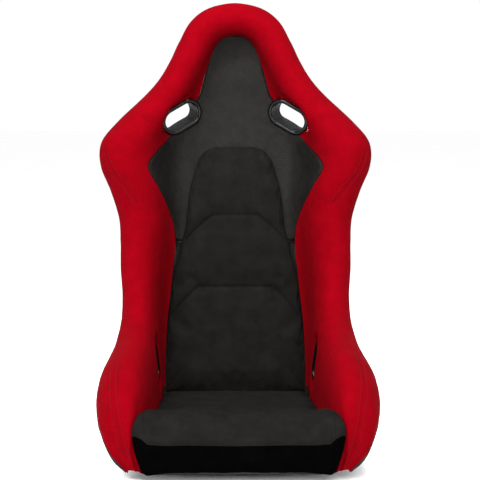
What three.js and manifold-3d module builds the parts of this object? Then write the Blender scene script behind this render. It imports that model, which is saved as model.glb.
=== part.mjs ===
// A fixed-back racing seat: a fibre-reinforced shell with foam bolsters under one red cover, a black vinyl
// panel behind the head and shoulders, harness slots with plastic bezels, removable back and seat cushions,
// and a steel plate low on each side, screwed to inserts in the shell, for side mounts.
// Millimetres. +Z is up and the sitter looks along -Y, so the sitter's left is +X. The origin is on the
// floor, under the middle of the seat.

import * as THREE from 'three'
import { mergeVertices } from 'three/addons/utils/BufferGeometryUtils.js'
import Module from 'manifold-3d'

const wasm = await Module()
wasm.setup()

// ---------- driving dimensions ----------

// Ribs of the shell's inner face, from the front lip, over the pan, up the back to the crown of the head.
// centre: [y, z] on the middle line.  rim: [x, y, z] of the bolster's crest.  roll: radius of the rolled rim.
// floor: half width of the flat middle.  seam: half width of the black middle, where the red cover starts.
const ribs = [
  { centre: [-296, 14], rim: [188, -296, 32], roll: 20, floor: 166, seam: 176 },
  { centre: [-304, 42], rim: [202, -307, 72], roll: 32, floor: 168, seam: 184 },
  { centre: [-276, 68], rim: [209, -303, 128], roll: 44, floor: 166, seam: 188 },
  { centre: [-212, 46], rim: [211, -268, 174], roll: 52, floor: 163, seam: 181 },
  { centre: [-132, 4], rim: [209, -205, 202], roll: 54, floor: 158, seam: 168 },
  { centre: [-48, 2], rim: [206, -132, 212], roll: 52, floor: 152, seam: 158 },
  { centre: [44, 2], rim: [203, -60, 224], roll: 45, floor: 148, seam: 153 },
  { centre: [116, 4], rim: [202, 4, 246], roll: 36, floor: 146, seam: 151 },
  { centre: [166, 44], rim: [203, 50, 278], roll: 29, floor: 146, seam: 157 },
  { centre: [190, 120], rim: [207, 84, 320], roll: 25, floor: 143, seam: 160 },
  { centre: [211, 212], rim: [212, 106, 368], roll: 24, floor: 138, seam: 153 },
  { centre: [230, 306], rim: [213, 118, 418], roll: 24, floor: 126, seam: 141 },
  { centre: [247, 398], rim: [215, 122, 470], roll: 26, floor: 112, seam: 128 },
  { centre: [262, 480], rim: [226, 118, 522], roll: 32, floor: 110, seam: 160 },
  { centre: [274, 550], rim: [242, 113, 568], roll: 36, floor: 112, seam: 190 },
  { centre: [282, 612], rim: [241, 118, 612], roll: 36, floor: 108, seam: 166 },
  { centre: [287, 662], rim: [215, 142, 650], roll: 32, floor: 98, seam: 122 },
  { centre: [290, 702], rim: [177, 172, 690], roll: 28, floor: 84, seam: 82 },
  { centre: [291, 736], rim: [140, 196, 734], roll: 25, floor: 72, seam: 70 },
  { centre: [292, 764], rim: [113, 210, 778], roll: 24, floor: 62, seam: 62 },
  { centre: [292, 784], rim: [92, 218, 818], roll: 24, floor: 52, seam: 57 },
  { centre: [291, 796], rim: [73, 225, 852], roll: 24, floor: 44, seam: 54 },
  { centre: [290, 803], rim: [43, 232, 873], roll: 24, floor: 38, seam: 45 },
  { centre: [289, 806], rim: [0, 235, 881], roll: 24, floor: 34, seam: 36 },
]
const crown = ribs.length - 1     // the last rib, on the middle line over the head

const shellThickness = 4
const gap = 1.2                   // between a layer and the one under it
const foamGap = 2.4               // between foam and the cover over it
const bedGap = 3.6                // between the shell and the foam bonded to it
const foamOuter = 0.78            // how far across a rib the bolster foam reaches
const panelFrom = 11.8            // rib where the shoulder panel's lower edge lies
const cushionBreak = 8.35         // rib where the seat cushion meets the back cushion
const backCushionTop = 14.9
const seatCushionWidths = [        // half width, measured on the shell, of the seat cushion at these ribs
  [0.15, 172], [1, 194], [2, 203], [3, 189], [4, 180], [5, 175], [6, 171], [7, 167], [8, 163], [8.25, 160],
]
const seatCushionFront = 42       // thickness of its front roll
const seatCushionFill = 40        // how much thicker it is over the deep part of the pan
const panelInset = 6              // between the panel's edge and the red cover's foot
const coverThickness = 1.4
const linerThickness = 2
const flange = 16                 // how far the shell's edge turns down past its rolled rim
const trimWidth = 9
const trimLip = 6

const slotLength = 78             // clear opening of a shoulder slot
const slotWidth = 42
const hipSlotLength = 70          // clear opening of a hip slot
const hipSlotWidth = 30
const bezelWall = 2.6             // wall of the tube that runs through the shell
const bezelFlange = 10            // how far the front collar stands out past the opening
const shoulderCollarHeight = 34   // front face of the collar above the shell
const hipCollarHeight = 17
const bezelFit = 0.4
const ringThickness = 6           // of the ring that closes each bezel behind the shell
const screwRadius = 1.6
const screwHeadRadius = 2.9
const screwLength = 18

const mountSpacing = 290          // fore and aft, between the two inserts of one side
const mountHeight = 80
const mountMiddle = -34           // y of the point half way between the inserts
const bossFace = 207              // x of the flat pads that the plates lie on
const plateSize = [340, 40, 6]
const freeBoreSpacing = 120       // between the two tapped bores of a plate that take the side mount
const boltRadius = 4
const boltHeadRadius = 8
const boltHeadHeight = 4.2
const insertRadius = 6.5

// ---------- materials ----------

const paint = {
  shell: { color: 0x0d0d0e, roughness: 0.25, metalness: 0 },
  trim: { color: 0x0a0a0a, roughness: 0.6, metalness: 0 },
  foam: { color: 0xb9b4a6, roughness: 1, metalness: 0 },
  redCover: { color: 0xa8000f, roughness: 0.85, metalness: 0 },
  vinyl: { color: 0x2c2b28, roughness: 0.5, metalness: 0 },
  cloth: { color: 0x262422, roughness: 0.95, metalness: 0 },
  liner: { color: 0x1a1a1a, roughness: 1, metalness: 0 },
  bezel: { color: 0x080808, roughness: 0.2, metalness: 0 },
  steel: { color: 0x8d9094, roughness: 0.4, metalness: 1 },
  darkSteel: { color: 0x2a2a2c, roughness: 0.45, metalness: 1 },
}

// ---------- the seat's surface ----------

function clamp(x, low, high) {
  return Math.min(Math.max(x, low), high)
}

function smoothStep(from, to, x) {
  const s = clamp((x - from) / (to - from), 0, 1)
  return s * s * (3 - 2 * s)
}

// Runs a smooth curve through one value of each rib. A value that changes sign across the middle is odd.
function alongRibs(values, station, odd = false) {
  const s = clamp(station, 0, crown)
  const i = Math.min(Math.floor(s), crown - 1)
  const f = s - i
  const before = i === 0 ? 2 * values[0] - values[1] : values[i - 1]
  const mirrored = odd ? -values[crown - 1] : values[crown - 1]
  const after = i + 2 > crown ? mirrored : values[i + 2]
  const [p1, p2] = [values[i], values[i + 1]]
  const a = 2 * p1
  const b = p2 - before
  const c = 2 * before - 5 * p1 + 4 * p2 - after
  const d = 3 * p1 - before - 3 * p2 + after
  return 0.5 * (a + b * f + c * f ** 2 + d * f ** 3)
}

const columns = {
  centreY: ribs.map((rib) => rib.centre[0]),
  centreZ: ribs.map((rib) => rib.centre[1]),
  rimX: ribs.map((rib) => rib.rim[0]),
  rimY: ribs.map((rib) => rib.rim[1]),
  rimZ: ribs.map((rib) => rib.rim[2]),
  roll: ribs.map((rib) => rib.roll),
  floor: ribs.map((rib) => rib.floor),
  seam: ribs.map((rib) => rib.seam),
}

// Across one rib, t runs 0 to 1: flat middle, wall, rolled rim, turned-down flange.
const wallStart = 0.3
const rollStart = 0.68
const flangeStart = 0.9
const wallFullness = 0.62         // how square the corner between the flat middle and the wall is
const frontFullness = 0.1         // the same at the front lip
const headFrom = 17               // ribs above this one fan out round the head
const headTo = 20

// The plane of the rib at a station: a start on the middle line, a direction out and a direction forward.
function ribFrame(station) {
  const y = alongRibs(columns.centreY, station)
  const z = Math.max(alongRibs(columns.centreZ, station), shellThickness)
  const fan = smoothStep(headFrom, headTo, station)
  const rise = alongRibs(columns.rimZ, station) - z
  const out = new THREE.Vector3(alongRibs(columns.rimX, station, true), 0, fan * rise)
  const forward = new THREE.Vector3(0, alongRibs(columns.rimY, station) - y, (1 - fan) * rise)
  const width = out.length()
  const height = forward.length()
  const start = new THREE.Vector3(0, y, z)
  return { start, out: out.normalize(), forward: forward.normalize(), width, height }
}

// Distance out and forward of the point t on a rib.
function ribProfile(station, t, width, height) {
  const floor = alongRibs(columns.floor, station)
  const roll = alongRibs(columns.roll, station)
  if (t < wallStart) return [floor * t / wallStart, 0]
  if (t < rollStart) {
    const s = (t - wallStart) / (rollStart - wallStart)
    const fullness = frontFullness + (wallFullness - frontFullness) * smoothStep(0.6, 4, station)
    const reach = fullness * (width - floor)
    const near = 3 * (1 - s) ** 2 * s
    const far = 3 * (1 - s) * s ** 2
    const x = (1 - s) ** 3 * floor + near * (floor + reach) + far * (width - reach) + s ** 3 * width
    return [x, (far + s ** 3) * height]
  }
  const turn = Math.PI / 2 * clamp((t - rollStart) / (flangeStart - rollStart), 0, 1)
  const drop = Math.min(1.05 * roll, 0.45 * height) * (1 - Math.cos(turn))
  const turned = Math.min(flange, 0.3 * height) * clamp((t - flangeStart) / (1 - flangeStart), 0, 1)
  return [width + roll * Math.sin(turn), height - drop - turned]
}

function basePoint(station, t) {
  const { start, out, forward, width, height } = ribFrame(station)
  const [x, h] = ribProfile(station, t, width, height)
  return start.addScaledVector(out, x).addScaledVector(forward, h)
}

// Unit normal of the surface, towards the sitter.
function baseNormal(station, t) {
  const dt = 1e-3
  const dv = 0.02
  const across = basePoint(station, Math.min(t + dt, 1)).sub(basePoint(station, Math.max(t - dt, 0)))
  const along = basePoint(Math.min(station + dv, crown), t).sub(basePoint(Math.max(station - dv, 0), t))
  const { forward } = ribFrame(station)
  return across.normalize().cross(along).addScaledVector(forward, 1e-4).normalize()
}

// Height of the padded surface above the shell: thin in the middle, full on the wall, thin at the edge.
const middleFoam = 6
const headFoam = 16
const frontFoam = 0.45            // share of the foam on the inner wall at the front lip
const foamAcross = [[0, 0], [0.25, 3], [0.42, 13], [0.55, 20], [0.68, 15], [0.79, 8], [0.9, 3.6], [1, 2.6]]

function padding(station, t) {
  const behindHead = smoothStep(11.5, 13, station) - 0.9 * smoothStep(18, 20.5, station)
  const middle = middleFoam + (headFoam - middleFoam) * behindHead
  const i = clamp(foamAcross.findIndex(([at]) => at > t), 1, foamAcross.length - 1)
  const last = t >= 1 ? foamAcross.length - 1 : i
  const [t0, h0] = foamAcross[last - 1]
  const [t1, h1] = foamAcross[last]
  const front = 1 - (1 - frontFoam) * (1 - smoothStep(1.5, 4, station)) * (1 - smoothStep(0.55, rollStart, t))
  return middle * (1 - smoothStep(0.25, 0.55, t)) + front * (h0 + (h1 - h0) * (t - t0) / (t1 - t0))
}

// Every layer is made of flat facets between the same lines, so that layers lie on each other with an even
// gap: lines across the seat at these stations, and lines along it at these t.
const sharpTurn = (station) => station < 2.6 || (station > 7 && station < 9) || station > 19
const acrossLines = steps(0, crown, 0.5).filter((station) => Number.isInteger(station) || sharpTurn(station))
const alongLines = [0, wallStart, 0.38, 0.46, 0.54, 0.61, rollStart, 0.79, flangeStart, 1]

function steps(from, to, largest) {
  const count = Math.max(1, Math.ceil((to - from) / largest - 1e-6))
  return Array.from({ length: count + 1 }, (_, i) => from + (to - from) * i / count)
}

// The two lines that a value lies between, and how far it is from the first to the second.
function between(lines, value) {
  const next = lines.findIndex((line) => line >= value - 1e-9)
  const last = Math.max(next, 1)
  const [low, high] = [lines[last - 1], lines[last]]
  return [low, high, clamp((value - low) / (high - low), 0, 1)]
}

// A point above the shell: height gives the distance at the crossings of the lines. extra is a distance from
// there along the middle line's normal. side is 1 on the sitter's left and -1 on the right.
function surfacePoint(station, t, height, side = 1, extra = 0) {
  const [s0, s1, f] = between(acrossLines, station)
  const [t0, t1, g] = between(alongLines, t)
  const point = new THREE.Vector3()
  const corners = [[s0, t0, (1 - f) * (1 - g)], [s1, t0, f * (1 - g)], [s0, t1, (1 - f) * g], [s1, t1, f * g]]
  for (const [s, at, weight] of corners) {
    if (weight === 0) continue
    point.addScaledVector(basePoint(s, at), weight)
    point.addScaledVector(baseNormal(s, at), weight * height(s, at))
    point.addScaledVector(baseNormal(s, 0), weight * extra)
  }
  const onMiddleLine = t === 0 || station === crown
  return point.setX(onMiddleLine ? 0 : side * point.x)
}

// The t at which a rib has a given half width.
function tAtWidth(station, halfWidth) {
  const { width, height } = ribFrame(station)
  let low = 0
  let high = flangeStart
  for (let step = 0; step < 30; step += 1) {
    const middle = (low + high) / 2
    if (ribProfile(station, middle, width, height)[0] < halfWidth) low = middle
    else high = middle
  }
  return low
}

function seamT(station, inset = 0) {
  return tAtWidth(station, alongRibs(columns.seam, station) - inset)
}

// ---------- closed solids from two grids of points ----------

// front and back are grids of the same size; their edges are joined by walls. On a folded grid the last
// row doubles back on itself over the crown, so it needs no wall.
function solidBetween(front, back, folded = false) {
  const rows = front.length
  const width = front[0].length
  const points = [...front.flat(), ...back.flat()]
  const index = []
  const at = (layer, i, j) => layer * rows * width + i * width + j
  const quad = (a, b, c, d) => index.push(a, b, c, a, c, d)
  for (let i = 0; i < rows - 1; i += 1) {
    for (let j = 0; j < width - 1; j += 1) {
      quad(at(0, i, j), at(0, i, j + 1), at(0, i + 1, j + 1), at(0, i + 1, j))
      quad(at(1, i, j), at(1, i + 1, j), at(1, i + 1, j + 1), at(1, i, j + 1))
    }
    quad(at(0, i, 0), at(0, i + 1, 0), at(1, i + 1, 0), at(1, i, 0))
    quad(at(0, i, width - 1), at(1, i, width - 1), at(1, i + 1, width - 1), at(0, i + 1, width - 1))
  }
  for (let j = 0; j < width - 1; j += 1) {
    quad(at(0, 0, j), at(1, 0, j), at(1, 0, j + 1), at(0, 0, j + 1))
    if (folded) continue
    quad(at(0, rows - 1, j), at(0, rows - 1, j + 1), at(1, rows - 1, j + 1), at(1, rows - 1, j))
  }
  const geometry = new THREE.BufferGeometry().setFromPoints(points)
  geometry.setIndex(index)
  const merged = mergeVertices(geometry, 1e-3)
  merged.setIndex(withoutSlivers(merged.index.array))
  return outward(merged)
}

// Drops the triangles that have two corners at one point.
function withoutSlivers(index) {
  const kept = []
  for (let i = 0; i < index.length; i += 3) {
    const [a, b, c] = [index[i], index[i + 1], index[i + 2]]
    if (a !== b && b !== c && c !== a) kept.push(a, b, c)
  }
  return kept
}

function outward(geometry) {
  const p = geometry.attributes.position
  const index = geometry.index.array
  let volume = 0
  for (let i = 0; i < index.length; i += 3) {
    const [a, b, c] = [0, 1, 2].map((k) => new THREE.Vector3().fromBufferAttribute(p, index[i + k]))
    volume += a.dot(b.cross(c))
  }
  if (volume < 0) {
    for (let i = 0; i < index.length; i += 3) [index[i], index[i + 1]] = [index[i + 1], index[i]]
  }
  return geometry
}

// The lines that a layer is drawn at: its two ends and every line between them.
function linesBetween(lines, from, to) {
  const inside = lines.filter((line) => line > from + 0.01 && line < to - 0.01)
  return [from, ...inside, to]
}

function foldPlace(place) {
  return place > crown ? [2 * crown - place, -1] : [place, 1]
}

// Both limits of a layer vary along it, so a line outside them is moved to the nearer limit.
function limitedLines(from, to) {
  return alongLines.map((line) => clamp(line, from, to))
}

// A layer across the middle of the seat, from one side's outer limit to the other's.
function middleLayer(from, to, outerT, low, high, thickness = () => 0) {
  const grid = (height, extra) => linesBetween(acrossLines, from, to).map((station) => {
    const limit = outerT(station)
    const ts = [...limitedLines(0, limit), limit]
    const sides = [...ts.slice(1).reverse().map((t) => [t, -1]), ...ts.map((t) => [t, 1])]
    return sides.map(([t, side]) => surfacePoint(station, t, height, side, extra(station, t / limit)))
  })
  return solidBetween(grid(high, thickness), grid(low, () => 0), to === crown)
}

// A layer that follows the rim. Places past the crown count down the sitter's right side.
function rimLayer(from, to, innerT, outerT, low, high) {
  const places = [...acrossLines, ...acrossLines.slice(0, -1).reverse().map((line) => 2 * crown - line)]
  const grid = (height) => linesBetween(places, from, to).map((place) => {
    const [station, side] = foldPlace(place)
    const [t0, t1] = [innerT(station), outerT(station)]
    return [t0, ...limitedLines(t0, t1), t1].map((t) => surfacePoint(station, t, height, side))
  })
  return solidBetween(grid(high), grid(low))
}

// ---------- joining and cutting ----------

function toSolid(geometry) {
  const bare = geometry.clone()
  bare.deleteAttribute('normal')
  bare.deleteAttribute('uv')
  const merged = mergeVertices(bare, 1e-4)
  const triVerts = new Uint32Array(merged.index.array)
  const vertProperties = new Float32Array(merged.attributes.position.array)
  return new wasm.Manifold(new wasm.Mesh({ numProp: 3, vertProperties, triVerts }))
}

function toGeometry(solid) {
  const { vertProperties, triVerts } = solid.getMesh()
  const geometry = new THREE.BufferGeometry()
  geometry.setAttribute('position', new THREE.BufferAttribute(new Float32Array(vertProperties), 3))
  geometry.setIndex(new THREE.BufferAttribute(new Uint32Array(triVerts), 1))
  return geometry
}

function cut(geometry, ...tools) {
  return toGeometry(tools.reduce((solid, tool) => solid.subtract(toSolid(tool)), toSolid(geometry)))
}

function common(a, b) {
  return toGeometry(toSolid(a).intersect(toSolid(b)))
}

function join(...geometries) {
  return toGeometry(geometries.map(toSolid).reduce((sum, next) => sum.add(next)))
}

// ---------- slots and their bezels ----------

function stadium(length, width) {
  const shape = new THREE.Shape()
  const straight = (length - width) / 2
  shape.moveTo(-straight, -width / 2)
  shape.lineTo(straight, -width / 2)
  shape.absarc(straight, 0, width / 2, -Math.PI / 2, Math.PI / 2)
  shape.lineTo(-straight, width / 2)
  shape.absarc(-straight, 0, width / 2, Math.PI / 2, 1.5 * Math.PI)
  return shape
}

// A stadium prism along Z, from low to high, with a stadium hole if one is given.
function prism(length, width, low, high, hole) {
  const shape = stadium(length, width)
  if (hole) shape.holes.push(stadium(...hole))
  const options = { depth: high - low, bevelEnabled: false, curveSegments: 5 }
  return new THREE.ExtrudeGeometry(shape, options).translate(0, 0, low)
}

function rod(radius, low, high, x = 0, y = 0, segments = 8) {
  const geometry = new THREE.CylinderGeometry(radius, radius, high - low, segments)
  return geometry.rotateX(Math.PI / 2).translate(x, y, (low + high) / 2)
}

// A slot: its middle on the shell's inner face, its axis towards the sitter, and the way that it is long.
function slotPlace(middle, axis, long, side) {
  const z = new THREE.Vector3(...axis).normalize()
  const x = new THREE.Vector3(...long)
  x.addScaledVector(z, -x.dot(z)).normalize()
  const y = new THREE.Vector3().crossVectors(z, x)
  const place = new THREE.Matrix4().makeBasis(x, y, z).setPosition(...middle)
  return side > 0 ? place : new THREE.Matrix4().makeScale(-1, 1, 1).multiply(place)
}

function placed(geometry, place) {
  const moved = geometry.clone().applyMatrix4(place)
  return place.determinant() > 0 ? moved : outward(mergeVertices(bareCopy(moved), 1e-4))
}

function bareCopy(geometry) {
  geometry.deleteAttribute('normal')
  geometry.deleteAttribute('uv')
  return geometry
}

const shoulderSlot = {
  length: slotLength, width: slotWidth, collar: shoulderCollarHeight,
  middle: [127, 272, 671], axis: [-0.42, -0.89, -0.18], long: [-0.86, 0.3, 0.5],
  ribs: [13, 19], t: [0, rollStart],
}
const hipSlot = {
  length: hipSlotLength, width: hipSlotWidth, collar: hipCollarHeight,
  middle: [184, 62, 163], axis: [-0.975, -0.2, 0.06], long: [0, -0.3, 1],
  ribs: [4, 11], t: [wallStart, rollStart],
}

// Everything behind the shell round a slot, starting a given height above the shell's inner face.
function spaceBehind(slot, side, height) {
  const back = new THREE.Vector3(...slot.axis).normalize().multiplyScalar(-150)
  back.x *= side
  const rows = steps(...slot.ribs, 1)
  const columnsAt = alongLines.filter((line) => line >= slot.t[0] && line <= slot.t[1])
  const near = rows.map((station) => columnsAt.map((t) => surfacePoint(station, t, () => height, side)))
  return solidBetween(near, near.map((row) => row.map((point) => point.clone().add(back))))
}

function slotParts(slot, side) {
  const { length, width, collar } = slot
  const place = slotPlace(slot.middle, slot.axis, slot.long, side)
  const grown = (by) => [length + by, width + by]
  const tube = grown(2 * bezelWall)
  const rim = grown(2 * bezelFlange)
  const ringHole = grown(2 * bezelWall + 2 * bezelFit)
  const far = 150
  const ringFront = -shellThickness - foamGap
  const aheadOf = (geometry, height) => cut(geometry, spaceBehind(slot, side, height))
  const screwAt = (length + bezelFlange + bezelWall) / 2
  const collarRing = placed(prism(...rim, -far / 3, collar, [length, width]), place)
  const tubeWall = placed(prism(...tube, -far / 3, collar, [length, width]), place)
  const ringBlock = placed(prism(...grown(2 * bezelFlange - 1), -far / 2, far / 4, ringHole), place)
  const ring = aheadOf(common(ringBlock, spaceBehind(slot, side, ringFront)), ringFront - ringThickness)
  const screwSeats = [screwAt, -screwAt].map((x) => {
    const probe = common(ring, placed(rod(screwHeadRadius, -far, far, x, 0), place))
    probe.applyMatrix4(place.clone().invert()).computeBoundingBox()
    return [x, probe.boundingBox.min.z]
  })
  const screws = screwSeats.map(([x, z]) => {
    const head = rod(screwHeadRadius, z - 2, z - 0.3, x, 0)
    return placed(join(head, rod(screwRadius, z - 1, z + screwLength, x, 0)), place)
  })
  const holes = screwSeats.map(([x, z]) => {
    return placed(rod(screwRadius + 0.3, z - far, z + screwLength + 1, x, 0), place)
  })
  const tunnel = aheadOf(tubeWall, ringFront - ringThickness - 1)
  return {
    front: cut(join(aheadOf(collarRing, foamGap), tunnel), ...holes),
    rear: cut(ring, ...holes),
    screws,
    softHole: placed(prism(...grown(2 * bezelFlange + 2 * bezelFit), -far, far), place),
    shellHole: placed(prism(...ringHole, -far, far), place),
    screwHoles: holes,
    ringClearance: placed(prism(...grown(2 * bezelFlange + 6), -far, far), place),
  }
}

const mirrorX = new THREE.Matrix4().makeScale(-1, 1, 1)
const sides = [['left', 1], ['right', -1]]
const slots = sides.flatMap(([name, side]) => [
  { name: `shoulder_bezel_${name}`, ...slotParts(shoulderSlot, side) },
  { name: `hip_bezel_${name}`, ...slotParts(hipSlot, side) },
])
const softHoles = slots.map((slot) => slot.softHole)
const ringClearances = slots.map((slot) => slot.ringClearance)
const shellHoles = slots.flatMap((slot) => [slot.shellHole, ...slot.screwHoles])

// ---------- sub-parts ----------

const seat = new THREE.Group()

function addPart(name, geometry, finish) {
  const mesh = new THREE.Mesh(geometry, new THREE.MeshStandardMaterial(finish))
  mesh.name = name
  seat.add(mesh)
}

const boltPlaces = [['front', mountMiddle - mountSpacing / 2], ['rear', mountMiddle + mountSpacing / 2]]

function alongX(geometry, side, x, y, z) {
  return geometry.clone().rotateY(side * Math.PI / 2).translate(side * x, y, z)
}

// The pad moulded on the outside of the shell, with a flat outer face for the side mount.
function sideBoss(side) {
  const grid = (flat) => steps(2.6, 7.9, 0.6).map((station) => steps(0.38, 0.5, 0.04).map((t) => {
    const point = surfacePoint(station, t, () => -shellThickness / 2, side)
    return flat ? point.setX(side * bossFace) : point
  }))
  return solidBetween(grid(true), grid(false))
}

function shell() {
  const skin = middleLayer(0, crown, () => 1, () => -shellThickness, () => 0)
  const bored = sides.flatMap(([, side]) => boltPlaces.map(([, y]) => {
    return alongX(rod(insertRadius + 0.3, 0, 14.3), side, bossFace - 14, y, mountHeight)
  }))
  const bosses = sides.map(([, side]) => cut(sideBoss(side), ...ringClearances))
  return cut(join(skin, ...bosses), ...shellHoles, ...bored)
}

// Soft edging round the shell's free edge: a flat strip folded over the edge.
function edgeTrim() {
  const places = [...acrossLines, ...acrossLines.slice(0, -1).reverse().map((line) => 2 * crown - line)]
  const grid = (out) => places.map((place) => {
    const [station, side] = foldPlace(place)
    const normal = baseNormal(station, 1)
    const edge = basePoint(station, 1)
    const down = edge.clone().sub(basePoint(station, 0.97)).normalize()
    return [3.5, trimLip + 2].map((drop) => {
      const point = edge.clone().addScaledVector(down, drop).addScaledVector(normal, out)
      return point.setX(station === crown ? 0 : side * point.x)
    })
  })
  return solidBetween(grid(trimWidth / 2 - shellThickness / 2), grid(-trimWidth / 2 - shellThickness / 2))
}

function bolsterFoam(from, to) {
  const top = (station, t) => padding(station, t) - coverThickness - foamGap
  const inner = (station) => seamT(station, -12)
  return cut(rimLayer(from, to, inner, () => foamOuter, () => bedGap, top), ...softHoles)
}

function bolsterCover() {
  const under = (station, t) => padding(station, t) - coverThickness
  const cover = rimLayer(0, 2 * crown, (station) => seamT(station), () => 1, under, padding)
  return cut(cover, ...softHoles)
}

function shoulderPanel() {
  const under = (station, t) => padding(station, t) - coverThickness
  const outer = (station) => seamT(station, panelInset)
  return cut(middleLayer(panelFrom, crown, outer, under, padding), ...softHoles)
}

function shoulderPanelFoam() {
  const top = (station, t) => padding(station, t) - coverThickness - 1.5 * foamGap
  const outer = (station) => seamT(station, 12)
  return cut(middleLayer(panelFrom, crown, outer, () => foamGap, top), ...softHoles)
}

function liner(from, to) {
  const high = () => 1.5 * gap + linerThickness
  return middleLayer(from, to, (station) => seamT(station, 8), () => 1.5 * gap, high)
}

// A cushion's thickness falls to its edge along a quarter round.
function cushion(from, to, outer, under, rise, edge) {
  const thickness = (station, share) => {
    const ends = Math.min(station - from, to - station)
    const round = Math.sqrt(1 - share ** 4) * Math.sqrt(1 - (1 - clamp(ends / 0.9, 0, 1)) ** 2)
    return edge + rise * round
  }
  return middleLayer(from, to, outer, under, under, thickness)
}

function alongKnots(knots, value) {
  const next = clamp(knots.findIndex(([at]) => at >= value), 1, knots.length - 1)
  const [[a, low], [b, high]] = [knots[next - 1], knots[next]]
  return low + (high - low) * clamp((value - a) / (b - a), 0, 1)
}

// The seat cushion fills the lined pan. Its sides lean out over the foot of the red cover, and its top is
// rounded off at its edges.
function seatCushion() {
  const [from, to] = [0.15, cushionBreak - 0.1]
  const low = 3.9 * gap + linerThickness
  const onLiner = (station, half) => surfacePoint(station, tAtWidth(station, half), () => low)
  const onCover = (station, half) => {
    return surfacePoint(station, tAtWidth(station, half), (at, t) => padding(at, t) + foamGap)
  }
  const sections = linesBetween(acrossLines, from, to).map((station) => {
    const half = alongKnots(seatCushionWidths, station)
    const foot = Math.min(alongRibs(columns.seam, station) - 3, half - 5)
    const flat = Math.min(alongRibs(columns.floor, station) - 3, foot - 5)
    const lift = baseNormal(station, 0)
    const start = surfacePoint(station, 0, () => low)
    const heightOf = (point) => point.clone().sub(start).dot(lift)
    const edge = onCover(station, half)
    const under = [
      start,
      ...[0.35, 0.65, 0.87, 1].map((share) => onLiner(station, share * flat)),
      onCover(station, foot),
      onCover(station, (foot + half) / 2),
      edge,
    ]
    const fill = seatCushionFill * smoothStep(2.4, 4, station) * (1 - smoothStep(6.6, 8.3, station))
    const ends = Math.min(station - from, to - station)
    const round = Math.sqrt(1 - (1 - clamp(ends / 0.9, 0, 1)) ** 2)
    const middle = 10 + (seatCushionFront + fill - 10) * round
    const rim = Math.max(heightOf(edge) + 7, middle - 20)
    const over = under.map((point) => {
      const share = point.x / edge.x
      const height = rim + (middle - rim) * Math.sqrt(1 - share ** 6)
      return start.clone().setX(point.x).addScaledVector(lift, Math.max(height, heightOf(point) + 6))
    })
    return [over, under].map((points) => {
      const mirrored = points.slice(1).reverse().map((point) => point.clone().setX(-point.x))
      return [...mirrored, ...points]
    })
  })
  return solidBetween(sections.map(([over]) => over), sections.map(([, under]) => under))
}

function backCushion() {
  const half = (station) => {
    const low = alongRibs(columns.seam, station) - 11
    const high = 108 - 6 * (station - 12)
    const blend = smoothStep(11, 12.4, station)
    return low + (Math.min(high, low) - low) * blend
  }
  const outer = (station) => tAtWidth(station, half(station))
  const under = (station, t) => {
    const onLiner = 3.9 * gap + linerThickness
    const onPanel = padding(station, t) + gap
    return station > panelFrom - 1 ? Math.max(onPanel, onLiner) : onLiner
  }
  return cushion(cushionBreak + 0.12, backCushionTop, outer, under, 16, 8)
}

// A cone from one radius to another, for a countersunk head or its seat.
function cone(lowRadius, highRadius, low, high) {
  const geometry = new THREE.CylinderGeometry(highRadius, lowRadius, high - low, 20)
  return geometry.rotateX(Math.PI / 2).translate(0, 0, (low + high) / 2)
}

// The plates and bolts are drawn outward from the flat pad on the shell.
const plateLow = 0.3
const plateHigh = plateLow + plateSize[2]
const headHigh = plateHigh - 0.3

function mountPlate(side) {
  const [length, height, thickness] = plateSize
  const plate = new THREE.BoxGeometry(thickness, length, height)
  plate.translate(side * (bossFace + (plateLow + plateHigh) / 2), mountMiddle, mountHeight)
  const seatLow = headHigh - boltHeadHeight - 0.3
  const countersink = cone(boltRadius + 0.5, boltHeadRadius + 0.7, seatLow, plateHigh)
  const boltHole = join(rod(boltRadius + 0.5, -5, 10), countersink)
  const holes = boltPlaces.map(([, y]) => alongX(boltHole, side, bossFace, y, mountHeight))
  const bore = rod(boltRadius, -5, 10, 0, 0, 16)
  const bores = [-0.5, 0.5].map((share) => {
    return alongX(bore, side, bossFace, mountMiddle + share * freeBoreSpacing, mountHeight)
  })
  return cut(plate, ...holes, ...bores)
}

function threadedInsert(side, y) {
  const body = rod(insertRadius, 0, 13.5)
  const bore = rod(boltRadius + 0.3, 1.5, 20)
  return alongX(cut(body, bore), side, bossFace - 13.7, y, mountHeight)
}

function mountBolt(side, y) {
  const head = cone(boltRadius, boltHeadRadius, headHigh - boltHeadHeight, headHigh)
  const bolt = join(head, rod(boltRadius, -10, headHigh - boltHeadHeight + 0.2))
  return alongX(cut(bolt, rod(2.9, headHigh - 2.6, plateHigh + 1, 0, 0, 6)), side, bossFace, y, mountHeight)
}

addPart('shell', shell(), paint.shell)
addPart('edge_trim', edgeTrim(), paint.trim)
addPart('bolster_foam_left', bolsterFoam(1, 15.4), paint.foam)
addPart('bolster_foam_right', placed(bolsterFoam(1, 15.4), mirrorX), paint.foam)
addPart('head_foam', bolsterFoam(15.5, 2 * crown - 15.5), paint.foam)
addPart('bolster_cover', bolsterCover(), paint.redCover)
addPart('shoulder_panel', shoulderPanel(), paint.vinyl)
addPart('shoulder_panel_foam', shoulderPanelFoam(), paint.foam)
addPart('pan_liner', liner(0.3, cushionBreak - 0.05), paint.liner)
addPart('back_liner', liner(cushionBreak + 0.05, panelFrom - 0.1), paint.liner)
addPart('seat_cushion', seatCushion(), paint.cloth)
addPart('back_cushion', backCushion(), paint.cloth)
for (const slot of slots) {
  addPart(slot.name, slot.front, paint.bezel)
  addPart(`${slot.name}_rear_ring`, slot.rear, paint.bezel)
  slot.screws.forEach((screw, i) => addPart(`${slot.name}_screw_${i + 1}`, screw, paint.darkSteel))
}
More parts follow.
